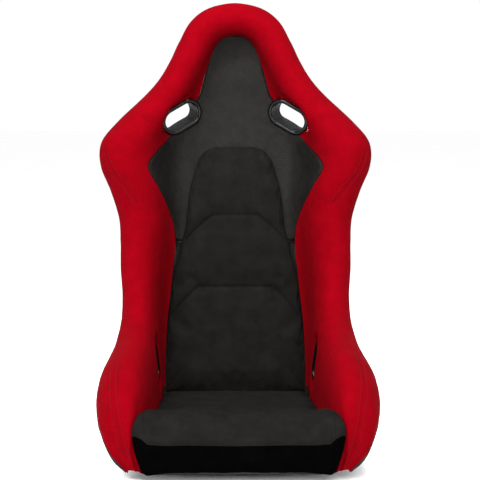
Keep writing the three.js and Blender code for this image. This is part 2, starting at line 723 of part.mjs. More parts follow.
for (const [name, side] of sides) {
  addPart(`mount_plate_${name}`, mountPlate(side), paint.darkSteel)
  for (const [end, y] of boltPlaces) {
    addPart(`mount_insert_${name}_${end}`, threadedInsert(side, y), paint.steel)
    addPart(`mount_bolt_${name}_${end}`, mountBolt(side, y), paint.darkSteel)
  }
}

const box = new THREE.Box3().setFromObject(seat)
seat.position.set(0, -(box.min.y + box.max.y) / 2, -box.min.z)

export default seat
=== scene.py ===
"""The looks of a fixed-back racing seat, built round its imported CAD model.

Metres, +Z up, and the sitter faces -Y.
"""
import math
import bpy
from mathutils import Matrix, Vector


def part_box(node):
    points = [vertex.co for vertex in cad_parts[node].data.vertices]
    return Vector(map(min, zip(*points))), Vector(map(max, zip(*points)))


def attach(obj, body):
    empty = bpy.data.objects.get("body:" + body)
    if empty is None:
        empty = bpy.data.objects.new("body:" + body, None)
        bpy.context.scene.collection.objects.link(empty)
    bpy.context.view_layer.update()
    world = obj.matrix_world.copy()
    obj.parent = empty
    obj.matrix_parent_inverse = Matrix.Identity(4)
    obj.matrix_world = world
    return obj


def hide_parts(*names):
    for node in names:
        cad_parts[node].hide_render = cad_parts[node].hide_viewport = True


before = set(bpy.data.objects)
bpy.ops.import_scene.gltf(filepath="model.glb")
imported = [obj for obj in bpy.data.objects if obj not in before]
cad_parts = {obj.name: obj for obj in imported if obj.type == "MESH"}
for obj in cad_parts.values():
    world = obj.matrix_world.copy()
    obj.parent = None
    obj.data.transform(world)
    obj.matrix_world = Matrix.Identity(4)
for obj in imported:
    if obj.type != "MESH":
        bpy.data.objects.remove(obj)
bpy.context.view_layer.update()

from types import SimpleNamespace

import bmesh
import bpy
import numpy as np
from mathutils import Matrix, Vector
from mathutils.bvhtree import BVHTree
from mathutils.kdtree import KDTree

MM = 0.001

# ---------------------------------------------------------------- driving dimensions, in millimetres

# Ribs of the shell's inner face, from the front lip over the pan and up the back to the crown of the head.
# centre y, centre z | rim x, y, z | roll radius | half width of the flat | half width of the black middle
RIBS = np.array([
    [-296, 11, 190, -296, 25, 16, 166, 174],
    [-304, 42, 202, -307, 72, 32, 168, 184],
    [-276, 68, 209, -303, 128, 44, 166, 188],
    [-212, 46, 211, -268, 174, 52, 163, 181],
    [-132, 4, 209, -205, 202, 54, 158, 168],
    [-48, 2, 206, -132, 212, 52, 152, 158],
    [44, 2, 203, -60, 224, 45, 148, 153],
    [116, 4, 202, 4, 246, 36, 146, 151],
    [166, 44, 203, 50, 278, 29, 146, 157],
    [190, 120, 207, 84, 320, 25, 143, 160],
    [211, 212, 212, 106, 368, 24, 138, 153],
    [230, 306, 213, 118, 418, 24, 126, 141],
    [247, 398, 215, 122, 470, 26, 112, 137],
    [262, 480, 226, 118, 522, 32, 110, 175],
    [274, 550, 242, 113, 568, 36, 112, 197],
    [282, 612, 241, 118, 612, 36, 108, 170],
    [287, 662, 215, 142, 650, 32, 98, 122],
    [290, 702, 177, 172, 690, 28, 84, 82],
    [291, 736, 140, 196, 734, 25, 72, 70],
    [292, 764, 113, 210, 778, 24, 62, 62],
    [292, 784, 92, 218, 818, 24, 52, 57],
    [291, 796, 73, 225, 852, 24, 44, 54],
    [290, 803, 43, 232, 873, 24, 38, 45],
    [289, 806, 0, 235, 881, 24, 34, 36],
], float) * MM
CENTRE_Y, CENTRE_Z, RIM_X, RIM_Y, RIM_Z, ROLL, FLOOR, SEAM = range(8)
CROWN = len(RIBS) - 1

SHELL_THICKNESS = 4 * MM
COVER_THICKNESS = 1.4 * MM
LINER_LOW, LINER_HIGH = 1.8 * MM, 3.8 * MM
CUSHION_LOW = 6.7 * MM
FLANGE = 16 * MM
MIDDLE_FOAM, HEAD_FOAM = 6 * MM, 16 * MM
FOAM_T = [0, 0.25, 0.42, 0.55, 0.68, 0.79, 0.9, 1]
FOAM_HEIGHT = [0, 3, 13, 20, 15, 8, 3.6, 2.6]
FRONT_FOAM = 0.45

WALL_START, ROLL_START, FLANGE_START = 0.3, 0.68, 0.9
WALL_FULLNESS, FRONT_FULLNESS = 0.62, 0.1
HEAD_FROM, HEAD_TO = 17, 20
PANEL_FROM = 12.0
CUSHION_BREAK = 8.35
BACK_CUSHION_TOP = 14.76

BOSS_FACE = 207 * MM
MOUNT_MIDDLE_Y = -34 * MM
FREE_BORE_SPACING = 120 * MM
BEZEL_FLANGE = 10 * MM
BEZEL_WALL = 2.6 * MM
SAME_WALL = 130 * MM
SHELL_HOLE_SPARE = 6 * MM

# Distances from a padded edge to its first rows of points, close together where the edge is round.
EDGE_STEPS = np.array([0, 0.4, 1, 1.8, 2.8, 4, 5.4, 7, 9]) * MM

# The CAD model's origin is on the floor under the middle of the seat; the mounting plates give the shift
# from the ribs' own coordinates.
def box_of(node):
    """Middle and half size of a CAD node's box."""
    low, high = np.array(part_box(node))
    return (low + high) / 2, (high - low) / 2


PLATE_MIDDLE, _ = box_of("mount_plate_left")
SHIFT = np.array([0, PLATE_MIDDLE[1] - MOUNT_MIDDLE_Y, 0])


# ---------------------------------------------------------------- the seat's surface

def smooth_step(low, high, x):
    s = np.clip((x - low) / (high - low), 0, 1)
    return s * s * (3 - 2 * s)


def along_ribs(column, station, odd=False):
    """A smooth curve through one column of the ribs. An odd column changes sign across the middle."""
    values = RIBS[:, column]
    first = 2 * values[0] - values[1]
    last = -values[-2] if odd else values[-2]
    padded = np.concatenate([[first], values, [last]])
    s = np.clip(station, 0, CROWN)
    i = np.minimum(s.astype(int), CROWN - 1)
    f = s - i
    p0, p1, p2, p3 = (padded[i + k] for k in range(4))
    curve = 2 * p1 + (p2 - p0) * f + (2 * p0 - 5 * p1 + 4 * p2 - p3) * f ** 2
    return 0.5 * (curve + (3 * p1 - p0 - 3 * p2 + p3) * f ** 3)


def rib_frame(station):
    """Where a rib starts on the middle line, its directions out and forward, its width and its height."""
    y = along_ribs(CENTRE_Y, station)
    z = np.maximum(along_ribs(CENTRE_Z, station), SHELL_THICKNESS)
    fan = smooth_step(HEAD_FROM, HEAD_TO, station)
    rise = along_ribs(RIM_Z, station) - z
    zero = np.zeros_like(y)
    start = np.stack([zero, y, z], -1)
    out = np.stack([along_ribs(RIM_X, station, odd=True), zero, fan * rise], -1)
    forward = np.stack([zero, along_ribs(RIM_Y, station) - y, (1 - fan) * rise], -1)
    width = np.linalg.norm(out, axis=-1)
    height = np.linalg.norm(forward, axis=-1)
    return start, out / width[..., None], forward / height[..., None], width, height


def rib_profile(station, t, width, height):
    """Distance out and forward of the point t on a rib."""
    floor = along_ribs(FLOOR, station)
    roll = along_ribs(ROLL, station)
    s = np.clip((t - WALL_START) / (ROLL_START - WALL_START), 0, 1)
    fullness = FRONT_FULLNESS + (WALL_FULLNESS - FRONT_FULLNESS) * smooth_step(0.6, 4, station)
    reach = fullness * (width - floor)
    near = 3 * (1 - s) ** 2 * s
    far = 3 * (1 - s) * s ** 2
    wall = (1 - s) ** 3 * floor + near * (floor + reach) + far * (width - reach) + s ** 3 * width
    turn = math.pi / 2 * np.clip((t - ROLL_START) / (FLANGE_START - ROLL_START), 0, 1)
    drop = np.minimum(1.05 * roll, 0.45 * height) * (1 - np.cos(turn))
    turned = np.minimum(FLANGE, 0.3 * height) * np.clip((t - FLANGE_START) / (1 - FLANGE_START), 0, 1)
    wall_and_roll = np.where(t < ROLL_START, wall, width + roll * np.sin(turn))
    x = np.where(t < WALL_START, floor * t / WALL_START, wall_and_roll)
    h = np.where(t < ROLL_START, (far + s ** 3) * height, height - drop - turned)
    return x, h


def base(station, t):
    station, t = np.broadcast_arrays(np.asarray(station, float), np.asarray(t, float))
    start, out, forward, width, height = rib_frame(station)
    x, h = rib_profile(station, t, width, height)
    return start + out * x[..., None] + forward * h[..., None]


def base_normal(station, t):
    """Unit normal, towards the sitter. Where the ribs fan out over the head, the middle has one normal."""
    dt, dv = 1e-3, 0.02
    station, t = np.broadcast_arrays(np.asarray(station, float), np.asarray(t, float))
    t = np.maximum(t, 0.2 * smooth_step(18, 20, station))
    across = base(station, np.minimum(t + dt, 1)) - base(station, np.maximum(t - dt, 0))
    along = base(np.minimum(station + dv, CROWN), t) - base(np.maximum(station - dv, 0), t)
    across /= np.linalg.norm(across, axis=-1)[..., None]
    normal = np.cross(across, along) + rib_frame(station)[2] * 1e-7
    normal[..., 0] = np.where(station >= CROWN, 0, normal[..., 0])
    return normal / np.linalg.norm(normal, axis=-1)[..., None]


def lift_direction(station):
    """The direction that a cushion is thick in: the middle line's normal, evened out along the seat."""
    at = np.linspace(0, CROWN, 24 * CROWN + 1)
    normal = base_normal(at, np.zeros_like(at))
    reach = 17
    weight = np.hanning(2 * reach + 1)
    weight /= weight.sum()
    for k in (1, 2):
        padded = np.pad(normal[:, k], reach, mode="edge")
        normal[:, k] = np.convolve(padded, weight, mode="valid")
    evened = np.stack([np.zeros_like(station), *(np.interp(station, at, normal[:, k]) for k in (1, 2))], -1)
    return evened / np.linalg.norm(evened, axis=-1)[..., None]


def smooth_curve(x, xs, ys):
    """A smooth curve through a few points, with no overshoot at the ends."""
    xs, ys = np.asarray(xs, float), np.asarray(ys, float)
    slopes = np.gradient(ys, xs)
    slopes[0] = slopes[-1] = 0
    i = np.clip(np.searchsorted(xs, x) - 1, 0, len(xs) - 2)
    w = xs[i + 1] - xs[i]
    f = np.clip((x - xs[i]) / w, 0, 1)
    h00, h10 = 2 * f ** 3 - 3 * f ** 2 + 1, f ** 3 - 2 * f ** 2 + f
    h01, h11 = 3 * f ** 2 - 2 * f ** 3, f ** 3 - f ** 2
    return h00 * ys[i] + h10 * w * slopes[i] + h01 * ys[i + 1] + h11 * w * slopes[i + 1]


def padding(station, t):
    """Height of the padded surface above the shell."""
    behind_head = smooth_step(11.5, 13, station) - 0.9 * smooth_step(18, 20.5, station)
    middle = MIDDLE_FOAM + (HEAD_FOAM - MIDDLE_FOAM) * behind_head
    wing = smooth_step(12, 13.5, station) * (1 - smooth_step(15.4, 16.6, station))
    corner = 8 * MM * wing * np.exp(-((t - 0.34) / 0.11) ** 2)
    thin = (1 - FRONT_FOAM) * (1 - smooth_step(1.5, 4, station)) * (1 - smooth_step(0.55, ROLL_START, t))
    bolster = (1 - thin) * smooth_curve(t, FOAM_T, FOAM_HEIGHT) * MM
    return corner + middle * (1 - smooth_step(0.25, 0.55, t)) + bolster


def surface(station, t, height, side=1.0):
    """Points a given height above the shell, on the sitter's left (side 1) or right (side -1)."""
    point = base(station, t) + base_normal(station, t) * np.asarray(height)[..., None]
    point[..., 0] *= side
    return point + SHIFT


def t_at_width(station, half_width):
    """The t at which each rib has a given half width."""
    _, _, _, width, height = rib_frame(station)
    low = np.zeros_like(station)
    high = np.full_like(station, FLANGE_START)
    for _ in range(30):
        middle = (low + high) / 2
        short = rib_profile(station, middle, width, height)[0] < half_width
        low = np.where(short, middle, low)
        high = np.where(short, high, middle)
    return low


def seam_t(station, inset=0.0):
    return t_at_width(station, along_ribs(SEAM, station) - inset)


def mirrored(side):
    """Factors that mirror only x."""
    return np.stack([side, np.ones_like(side), np.ones_like(side)], -1)


def distance_along_rows(points):
    steps = np.linalg.norm(np.diff(points, axis=1), axis=-1)
    return np.concatenate([np.zeros((len(points), 1)), np.cumsum(steps, axis=1)], axis=1)


def line_groove(distance, depth, width):
    return -depth * np.exp(-(distance / width) ** 2)


# ---------------------------------------------------------------- meshes

def new_piece(name, verts, faces, uvs=None, weld=2e-5):
    """A closed mesh. uvs are lengths in metres, one pair for each vertex, and drive weaves and grain."""
    mesh = bpy.data.meshes.new(name)
    mesh.from_pydata(np.asarray(verts).tolist(), [], [list(face) for face in faces])
    if uvs is not None:
        corner = np.empty(len(mesh.loops), int)
        mesh.loops.foreach_get("vertex_index", corner)
        mesh.uv_layers.new(name="cloth").data.foreach_set("uv", np.asarray(uvs, float)[corner].ravel())
    bm = bmesh.new()
    bm.from_mesh(mesh)
    bmesh.ops.remove_doubles(bm, verts=bm.verts, dist=weld)
    bmesh.ops.dissolve_degenerate(bm, edges=bm.edges, dist=weld / 2)
    bmesh.ops.recalc_face_normals(bm, faces=bm.faces)
    bm.to_mesh(mesh)
    bm.free()
    mesh.shade_smooth()
    piece = bpy.data.objects.new(f"{name}_piece", mesh)
    bpy.context.scene.collection.objects.link(piece)
    return piece


def solid_between(name, front, back, uv=None, hole=None, folded=False):
    """A closed solid between two grids of points.

    hole marks the cells that are left out. A folded grid's last row doubles back on itself over the crown.
    """
    rows, columns = front.shape[:2]
    count = rows * columns
    kept = np.ones((rows - 1, columns - 1), bool) if hole is None else ~hole
    i, j = np.nonzero(kept)
    a = i * columns + j
    top = np.stack([a, a + 1, a + columns + 1, a + columns], -1)
    faces = [top, top[:, ::-1] + count]
    ring = np.pad(kept, 1)
    if folded:
        ring[-1, :] = True
    for di, dj, first, second in ((-1, 0, 0, 1), (0, 1, 1, 2), (1, 0, 2, 3), (0, -1, 3, 0)):
        open_side = ~ring[i + 1 + di, j + 1 + dj]
        p, q = top[open_side, first], top[open_side, second]
        faces.append(np.stack([q, p, p + count, q + count], -1))
    verts = np.concatenate([front.reshape(-1, 3), back.reshape(-1, 3)])
    uvs = None if uv is None else np.concatenate([uv.reshape(-1, 2)] * 2)
    return new_piece(name, verts, np.concatenate(faces).tolist(), uvs)


def sheet_faces(rows, columns):
    i, j = np.meshgrid(np.arange(rows - 1), np.arange(columns - 1), indexing="ij")
    a = (i * columns + j).ravel()
    return np.stack([a, a + 1, a + columns + 1, a + columns], -1).tolist()


def tube_faces(rings, around, closed=False, first=0):
    """Faces between rings of vertices. A tube that isn't closed on itself has a cap at both ends."""
    faces = []
    for ring in range(rings if closed else rings - 1):
        a = first + ring * around
        b = first + (ring + 1) % rings * around
        for m in range(around):
            n = (m + 1) % around
            faces.append([a + m, a + n, b + n, b + m])
    if not closed:
        for cap in (first, first + (rings - 1) * around):
            faces.append(list(range(cap, cap + around)))
    return faces


def cell_centres(points):
    return (points[:-1, :-1] + points[1:, :-1] + points[:-1, 1:] + points[1:, 1:]) / 4


def spread(length, count, near):
    """Distances from 0 to length: the near ones first, then even steps."""
    even = np.linspace(near[-1], length, count - len(near) + 1)
    return np.concatenate([near, even[1:]])


def place_by_distance(stations, start, end, distances_for):
    """The t of points spread by distance over the shell between two limits, and those distances."""
    share = np.linspace(0, 1, 161)
    t = start[:, None] + (end - start)[:, None] * share
    walk = distance_along_rows(base(stations[:, None], t))
    wanted = np.stack([distances_for(row[-1]) for row in walk])
    placed = np.stack([np.interp(want, row, at) for want, row, at in zip(wanted, walk, t)])
    return placed, wanted


def both_sides(stations, t, inward):
    """A grid from one side's limit over the middle to the other's. t runs from the limit to the middle."""
    t = np.concatenate([t, t[:, -2::-1]], axis=1)
    inward = np.concatenate([inward, inward[:, -2::-1]], axis=1)
    columns = t.shape[1]
    side = np.where(np.arange(columns) < columns // 2, -1.0, 1.0)
    station = np.repeat(stations[:, None], columns, axis=1)
    return station, t, np.broadcast_to(side, t.shape), inward


def lengths(points):
    """A pair of lengths for each point of a grid: across from the middle column, and along."""
    across = distance_along_rows(points)
    across = across - across[:, across.shape[1] // 2, None]
    along = distance_along_rows(np.swapaxes(points, 0, 1)).T
    middle = along[:, along.shape[1] // 2, None]
    return np.stack([across, np.broadcast_to(middle, across.shape)], -1)


def waviness(points, size, seed):
    """Gentle unevenness, about -1 to 1, with no repeat."""
    rng = np.random.default_rng(seed)
    total = np.zeros(points.shape[:-1])
    for _ in range(7):
        direction = rng.normal(size=3)
        direction *= rng.uniform(0.6, 1.6) * 2 * math.pi / size / np.linalg.norm(direction)
        total += np.sin(points @ direction + rng.uniform(0, 6.3))
    return total / 3.5


def pillow(distance, reach):
    """0 at an edge or seam, rising round to 1 at the reach."""
    return np.sqrt(1 - (1 - np.clip(distance / reach, 0, 1)) ** 2)


# ---------------------------------------------------------------- slots

SHOULDER_SLOT = dict(
    length=78 * MM, width=42 * MM, collar=34 * MM, flange=BEZEL_FLANGE,
    middle=(127, 272, 671), axis=(-0.42, -0.89, -0.18), long=(-0.86, 0.3, 0.5))
HIP_SLOT = dict(
    length=70 * MM, width=30 * MM, collar=21 * MM, flange=BEZEL_FLANGE,
    middle=(184, 62, 163), axis=(-0.975, -0.2, 0.06), long=(0, -0.3, 1))
SLOTS = [("shoulder", SHOULDER_SLOT), ("hip", HIP_SLOT)]
BOTH_SLOTS = ("shoulder", "hip")
SIDES = [("left", 1.0), ("right", -1.0)]


def slot_place(slot, side):
    """Middle, long direction, short direction and axis of a slot. The axis points to the sitter."""
    axis = Vector(slot["axis"]).normalized()
    long = Vector(slot["long"])
    long = (long - axis * long.dot(axis)).normalized()
    mirror = Vector((side, 1, 1))
    axis, long = axis * mirror, long * mirror
    middle = Vector(slot["middle"]) * MM * mirror + Vector(SHIFT)
    return np.array(middle), np.array(long), np.array(axis.cross(long)), np.array(axis)


def slot_coordinates(points, slot, side):
    """Distance outside the slot's stadium outline, and height along its axis."""
    middle, long, short, axis = slot_place(slot, side)
    local = points - middle
    u, v, w = local @ long, local @ short, local @ axis
    straight = (slot["length"] - slot["width"]) / 2
    reach = np.hypot(np.maximum(np.abs(u) - straight, 0), v)
    return reach - slot["width"] / 2, w, axis


def stadium(length, width, count):
    """Points and outward directions of a stadium outline, evenly spread. Its second half turns the first."""
    straight, radius = (length - width) / 2, width / 2
    half = 2 * straight + math.pi * radius
    points, outward = [], []
    for k in range(count):
        turn, d = divmod(2 * half * k / count, half)
        sign = -1 if turn else 1
        angle = -math.pi / 2 + max(d - 2 * straight, 0) / radius
        x = -straight + min(d, 2 * straight)
        direction = (sign * math.cos(angle), sign * math.sin(angle))
        points.append((sign * x + radius * direction[0], radius * direction[1]))
        outward.append(direction)
    return np.array(points), np.array(outward)


def slot_ring(name, slot, side, section_at, count=144):
    """A closed ring swept round a slot. section_at gives a closed list of (outside the opening, height)."""
    middle, long, short, axis = slot_place(slot, side)
    points, outward = stadium(slot["length"], slot["width"], count)
    verts = []
    for k in range(count):
        for out, height in section_at(k):
            flat = points[k] + outward[k] * out
            verts.append(middle + long * flat[0] + short * flat[1] + axis * height)
    return new_piece(name, verts, tube_faces(count, len(verts) // count, closed=True))


def snap_to_slots(points, names, spare, within=2.4 * MM):
    """Moves the points near a slot's grown outline onto it, so that a hole has a clean edge."""
    for name, slot in SLOTS:
        if name not in names:
            continue
        for _, side in SIDES:
            middle, long, short, _ = slot_place(slot, side)
            outside, height, _ = slot_coordinates(points, slot, side)
            local = points - middle
            u, v = local @ long, local @ short
            straight = (slot["length"] - slot["width"]) / 2
            over = np.sign(u) * np.maximum(np.abs(u) - straight, 0)
            reach = np.maximum(np.hypot(over, v), 1e-6)
            near = (np.abs(outside - spare) < within) & (np.abs(height) < SAME_WALL)
            step = np.where(near, spare - outside, 0)
            points = points + long * (over / reach * step)[..., None] + short * (v / reach * step)[..., None]
    return points


def dip_to_bezels(points, names=BOTH_SLOTS, below=3 * MM):
    """Draws the padded surface down to each bezel's collar, as a bezel pulled tight does."""
    for name, slot in SLOTS:
        if name not in names:
            continue
        for _, side in SIDES:
            outside, height, axis = slot_coordinates(points, slot, side)
            outside = outside - slot["flange"]
            near = np.exp(-(np.maximum(outside, 0) / (11 * MM)) ** 2)
            target = slot["collar"] - below
            excess = np.where(np.abs(height) < SAME_WALL, np.maximum(height - target, 0), 0)
            points = points - axis * (excess * near)[..., None]
    return points


def hole_cells(points, names, spare):
    """The cells of a grid that lie inside a slot grown by a spare width."""
    centres = cell_centres(points)
    hole = np.zeros(centres.shape[:2], bool)
    for name, slot in SLOTS:
        if name in names:
            for _, side in SIDES:
                outside, height, _ = slot_coordinates(centres, slot, side)
                hole |= (outside < spare) & (np.abs(height) < SAME_WALL)
    return hole


# ---------------------------------------------------------------- materials

class Shader:
    """A small helper that adds nodes to one material and links them."""

    def __init__(self, name, colour, roughness, metallic=0.0, coat=0.0, sheen=0.0, specular=0.5):
        self.material = bpy.data.materials.new(name)
        self.material.use_nodes = True
        self.nodes = self.material.node_tree.nodes
        self.surface = self.nodes["Principled BSDF"]
        self.set("Base Color", (*colour, 1))
        self.set("Roughness", roughness)
        self.set("Metallic", metallic)
        self.set("Coat Weight", coat)
        self.set("Sheen Weight", sheen)
        self.set("Specular IOR Level", specular)

    def set(self, socket, value):
        self.surface.inputs[socket].default_value = value

    def link(self, a, b):
        self.material.node_tree.links.new(a, b)

    def coordinate(self, kind="Object"):
        return self.nodes.new("ShaderNodeTexCoord").outputs[kind]

    def noise(self, scale, detail=3.0, roughness=0.5):
        node = self.nodes.new("ShaderNodeTexNoise")
        node.inputs["Scale"].default_value = scale
        node.inputs["Detail"].default_value = detail
        node.inputs["Roughness"].default_value = roughness
        self.link(self.coordinate(), node.inputs["Vector"])
        return node.outputs["Fac"]

    def scaled(self, source, low, high):
        node = self.nodes.new("ShaderNodeMapRange")
        node.inputs["To Min"].default_value = low
        node.inputs["To Max"].default_value = high
        self.link(source, node.inputs["Value"])
        return node.outputs["Result"]

    def math(self, operation, a, b=None):
        node = self.nodes.new("ShaderNodeMath")
        node.operation = operation
        for k, value in enumerate((a, b)):
            if value is None:
                continue
            if isinstance(value, (int, float)):
                node.inputs[k].default_value = value
            else:
                self.link(value, node.inputs[k])
        return node.outputs[0]

    def bump(self, source, depth):
        """Adds relief of a given depth in metres on top of any relief before."""
        node = self.nodes.new("ShaderNodeBump")
        node.inputs["Strength"].default_value = 1
        node.inputs["Distance"].default_value = depth
        self.link(source, node.inputs["Height"])
        normal = self.surface.inputs["Normal"]
        if normal.links:
            self.link(normal.links[0].from_socket, node.inputs["Normal"])
        self.link(node.outputs["Normal"], normal)

    def colour(self, source, low, high):
        """Base colour between low and high by a value from 0 to 1."""
        node = self.nodes.new("ShaderNodeValToRGB")
        for element, position, value in zip(node.color_ramp.elements, (0.3, 0.7), (low, high)):
            element.position = position
            element.color = (*value, 1)
        self.link(source, node.inputs["Fac"])
        self.link(node.outputs["Color"], self.surface.inputs["Base Color"])

    def roughness(self, source, low, high):
        self.link(self.scaled(source, low, high), self.surface.inputs["Roughness"])

    def lengths_from(self, kind, across, along):
        """Two lengths in metres, over the cloth (UV) or in the plane that the seat faces (Object)."""
        node = self.nodes.new("ShaderNodeSeparateXYZ")
        self.link(self.coordinate(kind), node.inputs[0])
        return node.outputs[across], node.outputs[along]

    def twill(self, pitch, facing=False):
        """Relief of a 2 by 2 twill, 0 to 1. facing lays it in the plane that the seat faces."""
        source = ("Object", "X", "Z") if facing else ("UV", "X", "Y")
        across, along = self.lengths_from(*source)
        u = self.math("DIVIDE", across, pitch)
        v = self.math("DIVIDE", along, pitch)
        whole = self.math("ADD", self.math("FLOOR", u), self.math("FLOOR", v))
        over = self.math("LESS_THAN", self.math("FLOORED_MODULO", whole, 4.0), 1.5)
        warp = self.math("SINE", self.math("MULTIPLY", self.math("FRACT", u), math.pi))
        weft = self.math("SINE", self.math("MULTIPLY", self.math("FRACT", v), math.pi))
        under = self.math("SUBTRACT", 1.0, over)
        return self.math("ADD", self.math("MULTIPLY", warp, over), self.math("MULTIPLY", weft, under))

    def knit(self, pitch):
        """Relief of a fine warp knit: short ribs in staggered rows, 0 to 1."""
        across, along = self.lengths_from("UV", "X", "Y")
        u = self.math("MULTIPLY", across, 2 * math.pi / pitch)
        v = self.math("MULTIPLY", along, 2 * math.pi / (1.6 * pitch))
        shifted = self.math("ADD", u, self.math("MULTIPLY", self.math("SINE", v), 1.1))
        return self.scaled(self.math("SINE", shifted), 0.0, 1.0)


def red_cloth():
    s = Shader("red_velour", (0.094, 0.0, 0.0016), 0.9, sheen=0.01, specular=0.01)
    s.set("Sheen Tint", (1.0, 0.08, 0.10, 1))
    s.colour(s.noise(38, 6, 0.62), (0.084, 0.0, 0.0013), (0.104, 0.0, 0.0019))
    s.bump(s.knit(1.5 * MM), 0.12 * MM)
    s.bump(s.noise(900, 2, 0.6), 0.10 * MM)
    s.bump(s.noise(46, 3, 0.5), 0.3 * MM)
    return s.material


def black_vinyl():
    s = Shader("carbon_emboss_vinyl", (0.008, 0.0076, 0.0068), 0.48, specular=0.035)
    weave = s.twill(4.2 * MM, facing=True)
    s.colour(s.noise(60, 3), (0.0046, 0.0044, 0.0039), (0.0070, 0.0066, 0.0059))
    s.roughness(weave, 0.6, 0.42)
    s.bump(weave, 0.26 * MM)
    s.bump(s.noise(700, 2), 0.05 * MM)
    return s.material


def cushion_cloth(name, dark, light):
    s = Shader(name, light, 0.88, sheen=0.4 * light[0], specular=2 * light[0])
    s.set("Sheen Roughness", 0.5)
    s.set("Sheen Tint", (0.62, 0.58, 0.55, 1))
    s.colour(s.noise(30, 5, 0.65), dark, light)
    s.bump(s.twill(1.3 * MM), 0.10 * MM)
    s.bump(s.noise(800, 3, 0.7), 0.10 * MM)
    s.bump(s.noise(50, 3), 0.7 * MM)
    return s.material


def thread(name, colour):
    s = Shader(name, colour, 0.8, specular=0.1)
    s.bump(s.noise(2600, 2), 0.08 * MM)
    return s.material


def gel_coat():
    s = Shader("black_gel_coat", (0.005, 0.005, 0.0055), 0.26, coat=0.2, specular=0.35)
    s.set("Coat Roughness", 0.12)
    s.colour(s.noise(16, 5, 0.6), (0.004, 0.004, 0.0045), (0.008, 0.008, 0.0085))
    s.roughness(s.noise(26, 6, 0.65), 0.20, 0.42)
    s.bump(s.noise(130, 3, 0.55), 0.12 * MM)
    s.bump(s.noise(22, 2), 0.5 * MM)
    return s.material


def rubber():
    s = Shader("rubber_edging", (0.004, 0.004, 0.004), 0.62, specular=0.12)
    s.colour(s.noise(40, 4), (0.003, 0.003, 0.003), (0.006, 0.006, 0.006))
    s.bump(s.noise(900, 2), 0.05 * MM)
    return s.material


def felt():
    s = Shader("liner_felt", (0.006, 0.006, 0.006), 0.97, specular=0.1)
    s.colour(s.noise(500, 5, 0.75), (0.003, 0.003, 0.003), (0.010, 0.010, 0.010))
    s.bump(s.noise(650, 5, 0.75), 0.5 * MM)
    return s.material


def foam():
    s = Shader("open_cell_foam", (0.45, 0.43, 0.36), 0.95)
    s.colour(s.noise(420, 4, 0.7), (0.30, 0.28, 0.22), (0.52, 0.49, 0.41))
    s.bump(s.noise(620, 4, 0.7), 0.6 * MM)
    return s.material


def gloss_plastic():
    s = Shader("gloss_black_plastic", (0.002, 0.002, 0.002), 0.16, coat=0.03, specular=0.12)
    s.set("Coat Roughness", 0.06)
    s.roughness(s.noise(24, 3, 0.5), 0.11, 0.18)
    s.bump(s.noise(20, 2), 0.06 * MM)
    return s.material


def metal(name, dark, light, low, high):
    """Plated or oxidised steel, worn a little unevenly."""
    s = Shader(name, light, low, metallic=1.0)
    s.colour(s.noise(220, 5, 0.6), dark, light)
    s.roughness(s.noise(340, 5, 0.6), low, high)
    s.bump(s.noise(1500, 2), 0.02 * MM)
    return s.material


# ---------------------------------------------------------------- finishing a piece

def finish_piece(piece, material, slot, *nodes, body="seat"):
    piece.data.materials.clear()
    piece.data.materials.append(material)
    if nodes:
        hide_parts(*nodes)
    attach(piece, body)
    return piece


def apply_modifiers(piece):
    graph = bpy.context.evaluated_depsgraph_get()
    mesh = bpy.data.meshes.new_from_object(piece.evaluated_get(graph))
    piece.modifiers.clear()
    piece.data = mesh


def cut_with(piece, cutters):
    """Subtracts closed cutters from a piece, and removes them."""
    for cutter in cutters:
        modifier = piece.modifiers.new("cut", "BOOLEAN")
        modifier.operation = "DIFFERENCE"
        modifier.solver = "EXACT"
        modifier.object = cutter
    apply_modifiers(piece)
    for cutter in cutters:
        bpy.data.objects.remove(cutter)


def bevelled(piece, width):
    """Rounds a hard piece's edges for good."""
    modifier = piece.modifiers.new("bevel", "BEVEL")
    modifier.width = width
    modifier.segments = 3
    modifier.limit_method = "ANGLE"
    modifier.angle_limit = math.radians(35)
    modifier.harden_normals = True
    apply_modifiers(piece)
    return piece


RED, VINYL = red_cloth(), black_vinyl()
CLOTH = cushion_cloth("black_microfibre", (0.0032, 0.0031, 0.0028), (0.0054, 0.0052, 0.0047))
# The skirt cloth is a near-black copy of the cushion cloth: painted shade on the seat's front face under the
# roll.
SKIRT_PAINTED_SHADE = cushion_cloth("skirt_cloth_painted_shade", (0.0003, 0.0003, 0.0003), (0.0006, 0.0006, 0.0006))
RED_THREAD = thread("red_thread", (0.06, 0.0, 0.002))
GEL_COAT, RUBBER, FELT, FOAM, PLASTIC = gel_coat(), rubber(), felt(), foam(), gloss_plastic()
BLACK_STEEL = metal("black_oxide_steel", (0.018, 0.018, 0.019), (0.045, 0.045, 0.047), 0.34, 0.52)
ZINC = metal("zinc_plated_steel", (0.42, 0.43, 0.44), (0.62, 0.63, 0.64), 0.25, 0.42)


# ---------------------------------------------------------------- shell and edging

def ribs_between(start, end, per_rib):
    return np.linspace(start, end, int(round((end - start) * per_rib)) + 1)


def over_the_crown(start, end, per_rib):
    """Ribs up the sitter's left, over the crown and down the right: station and side of each."""
    place = ribs_between(start, end, per_rib)
    right = place > CROWN
    return np.where(right, 2 * CROWN - place, place), np.where(right, -1.0, 1.0)


def across_whole(stations, outer, columns, near):
    """A grid over the middle from rim to rim: station, t, side and distance in from its edge."""
    t, inward = place_by_distance(
        stations, outer(stations), np.zeros_like(stations), lambda length: spread(length, columns, near))
    return both_sides(stations, t, inward)


def boss_pad(points):
    """Raises the outside of the shell to the flat pads that the side mounts bolt to."""
    from_middle = np.abs(points - PLATE_MIDDLE)
    away = np.maximum(from_middle[..., 1] - 186 * MM, from_middle[..., 2] - 27 * MM)
    share = 1 - smooth_step(0, 16 * MM, away)
    flat = np.sign(points[..., 0]) * BOSS_FACE
    on_side = np.abs(points[..., 0]) > 165 * MM
    moved = points.copy()
    moved[..., 0] += np.where(on_side, share * (flat - points[..., 0]), 0)
    return moved


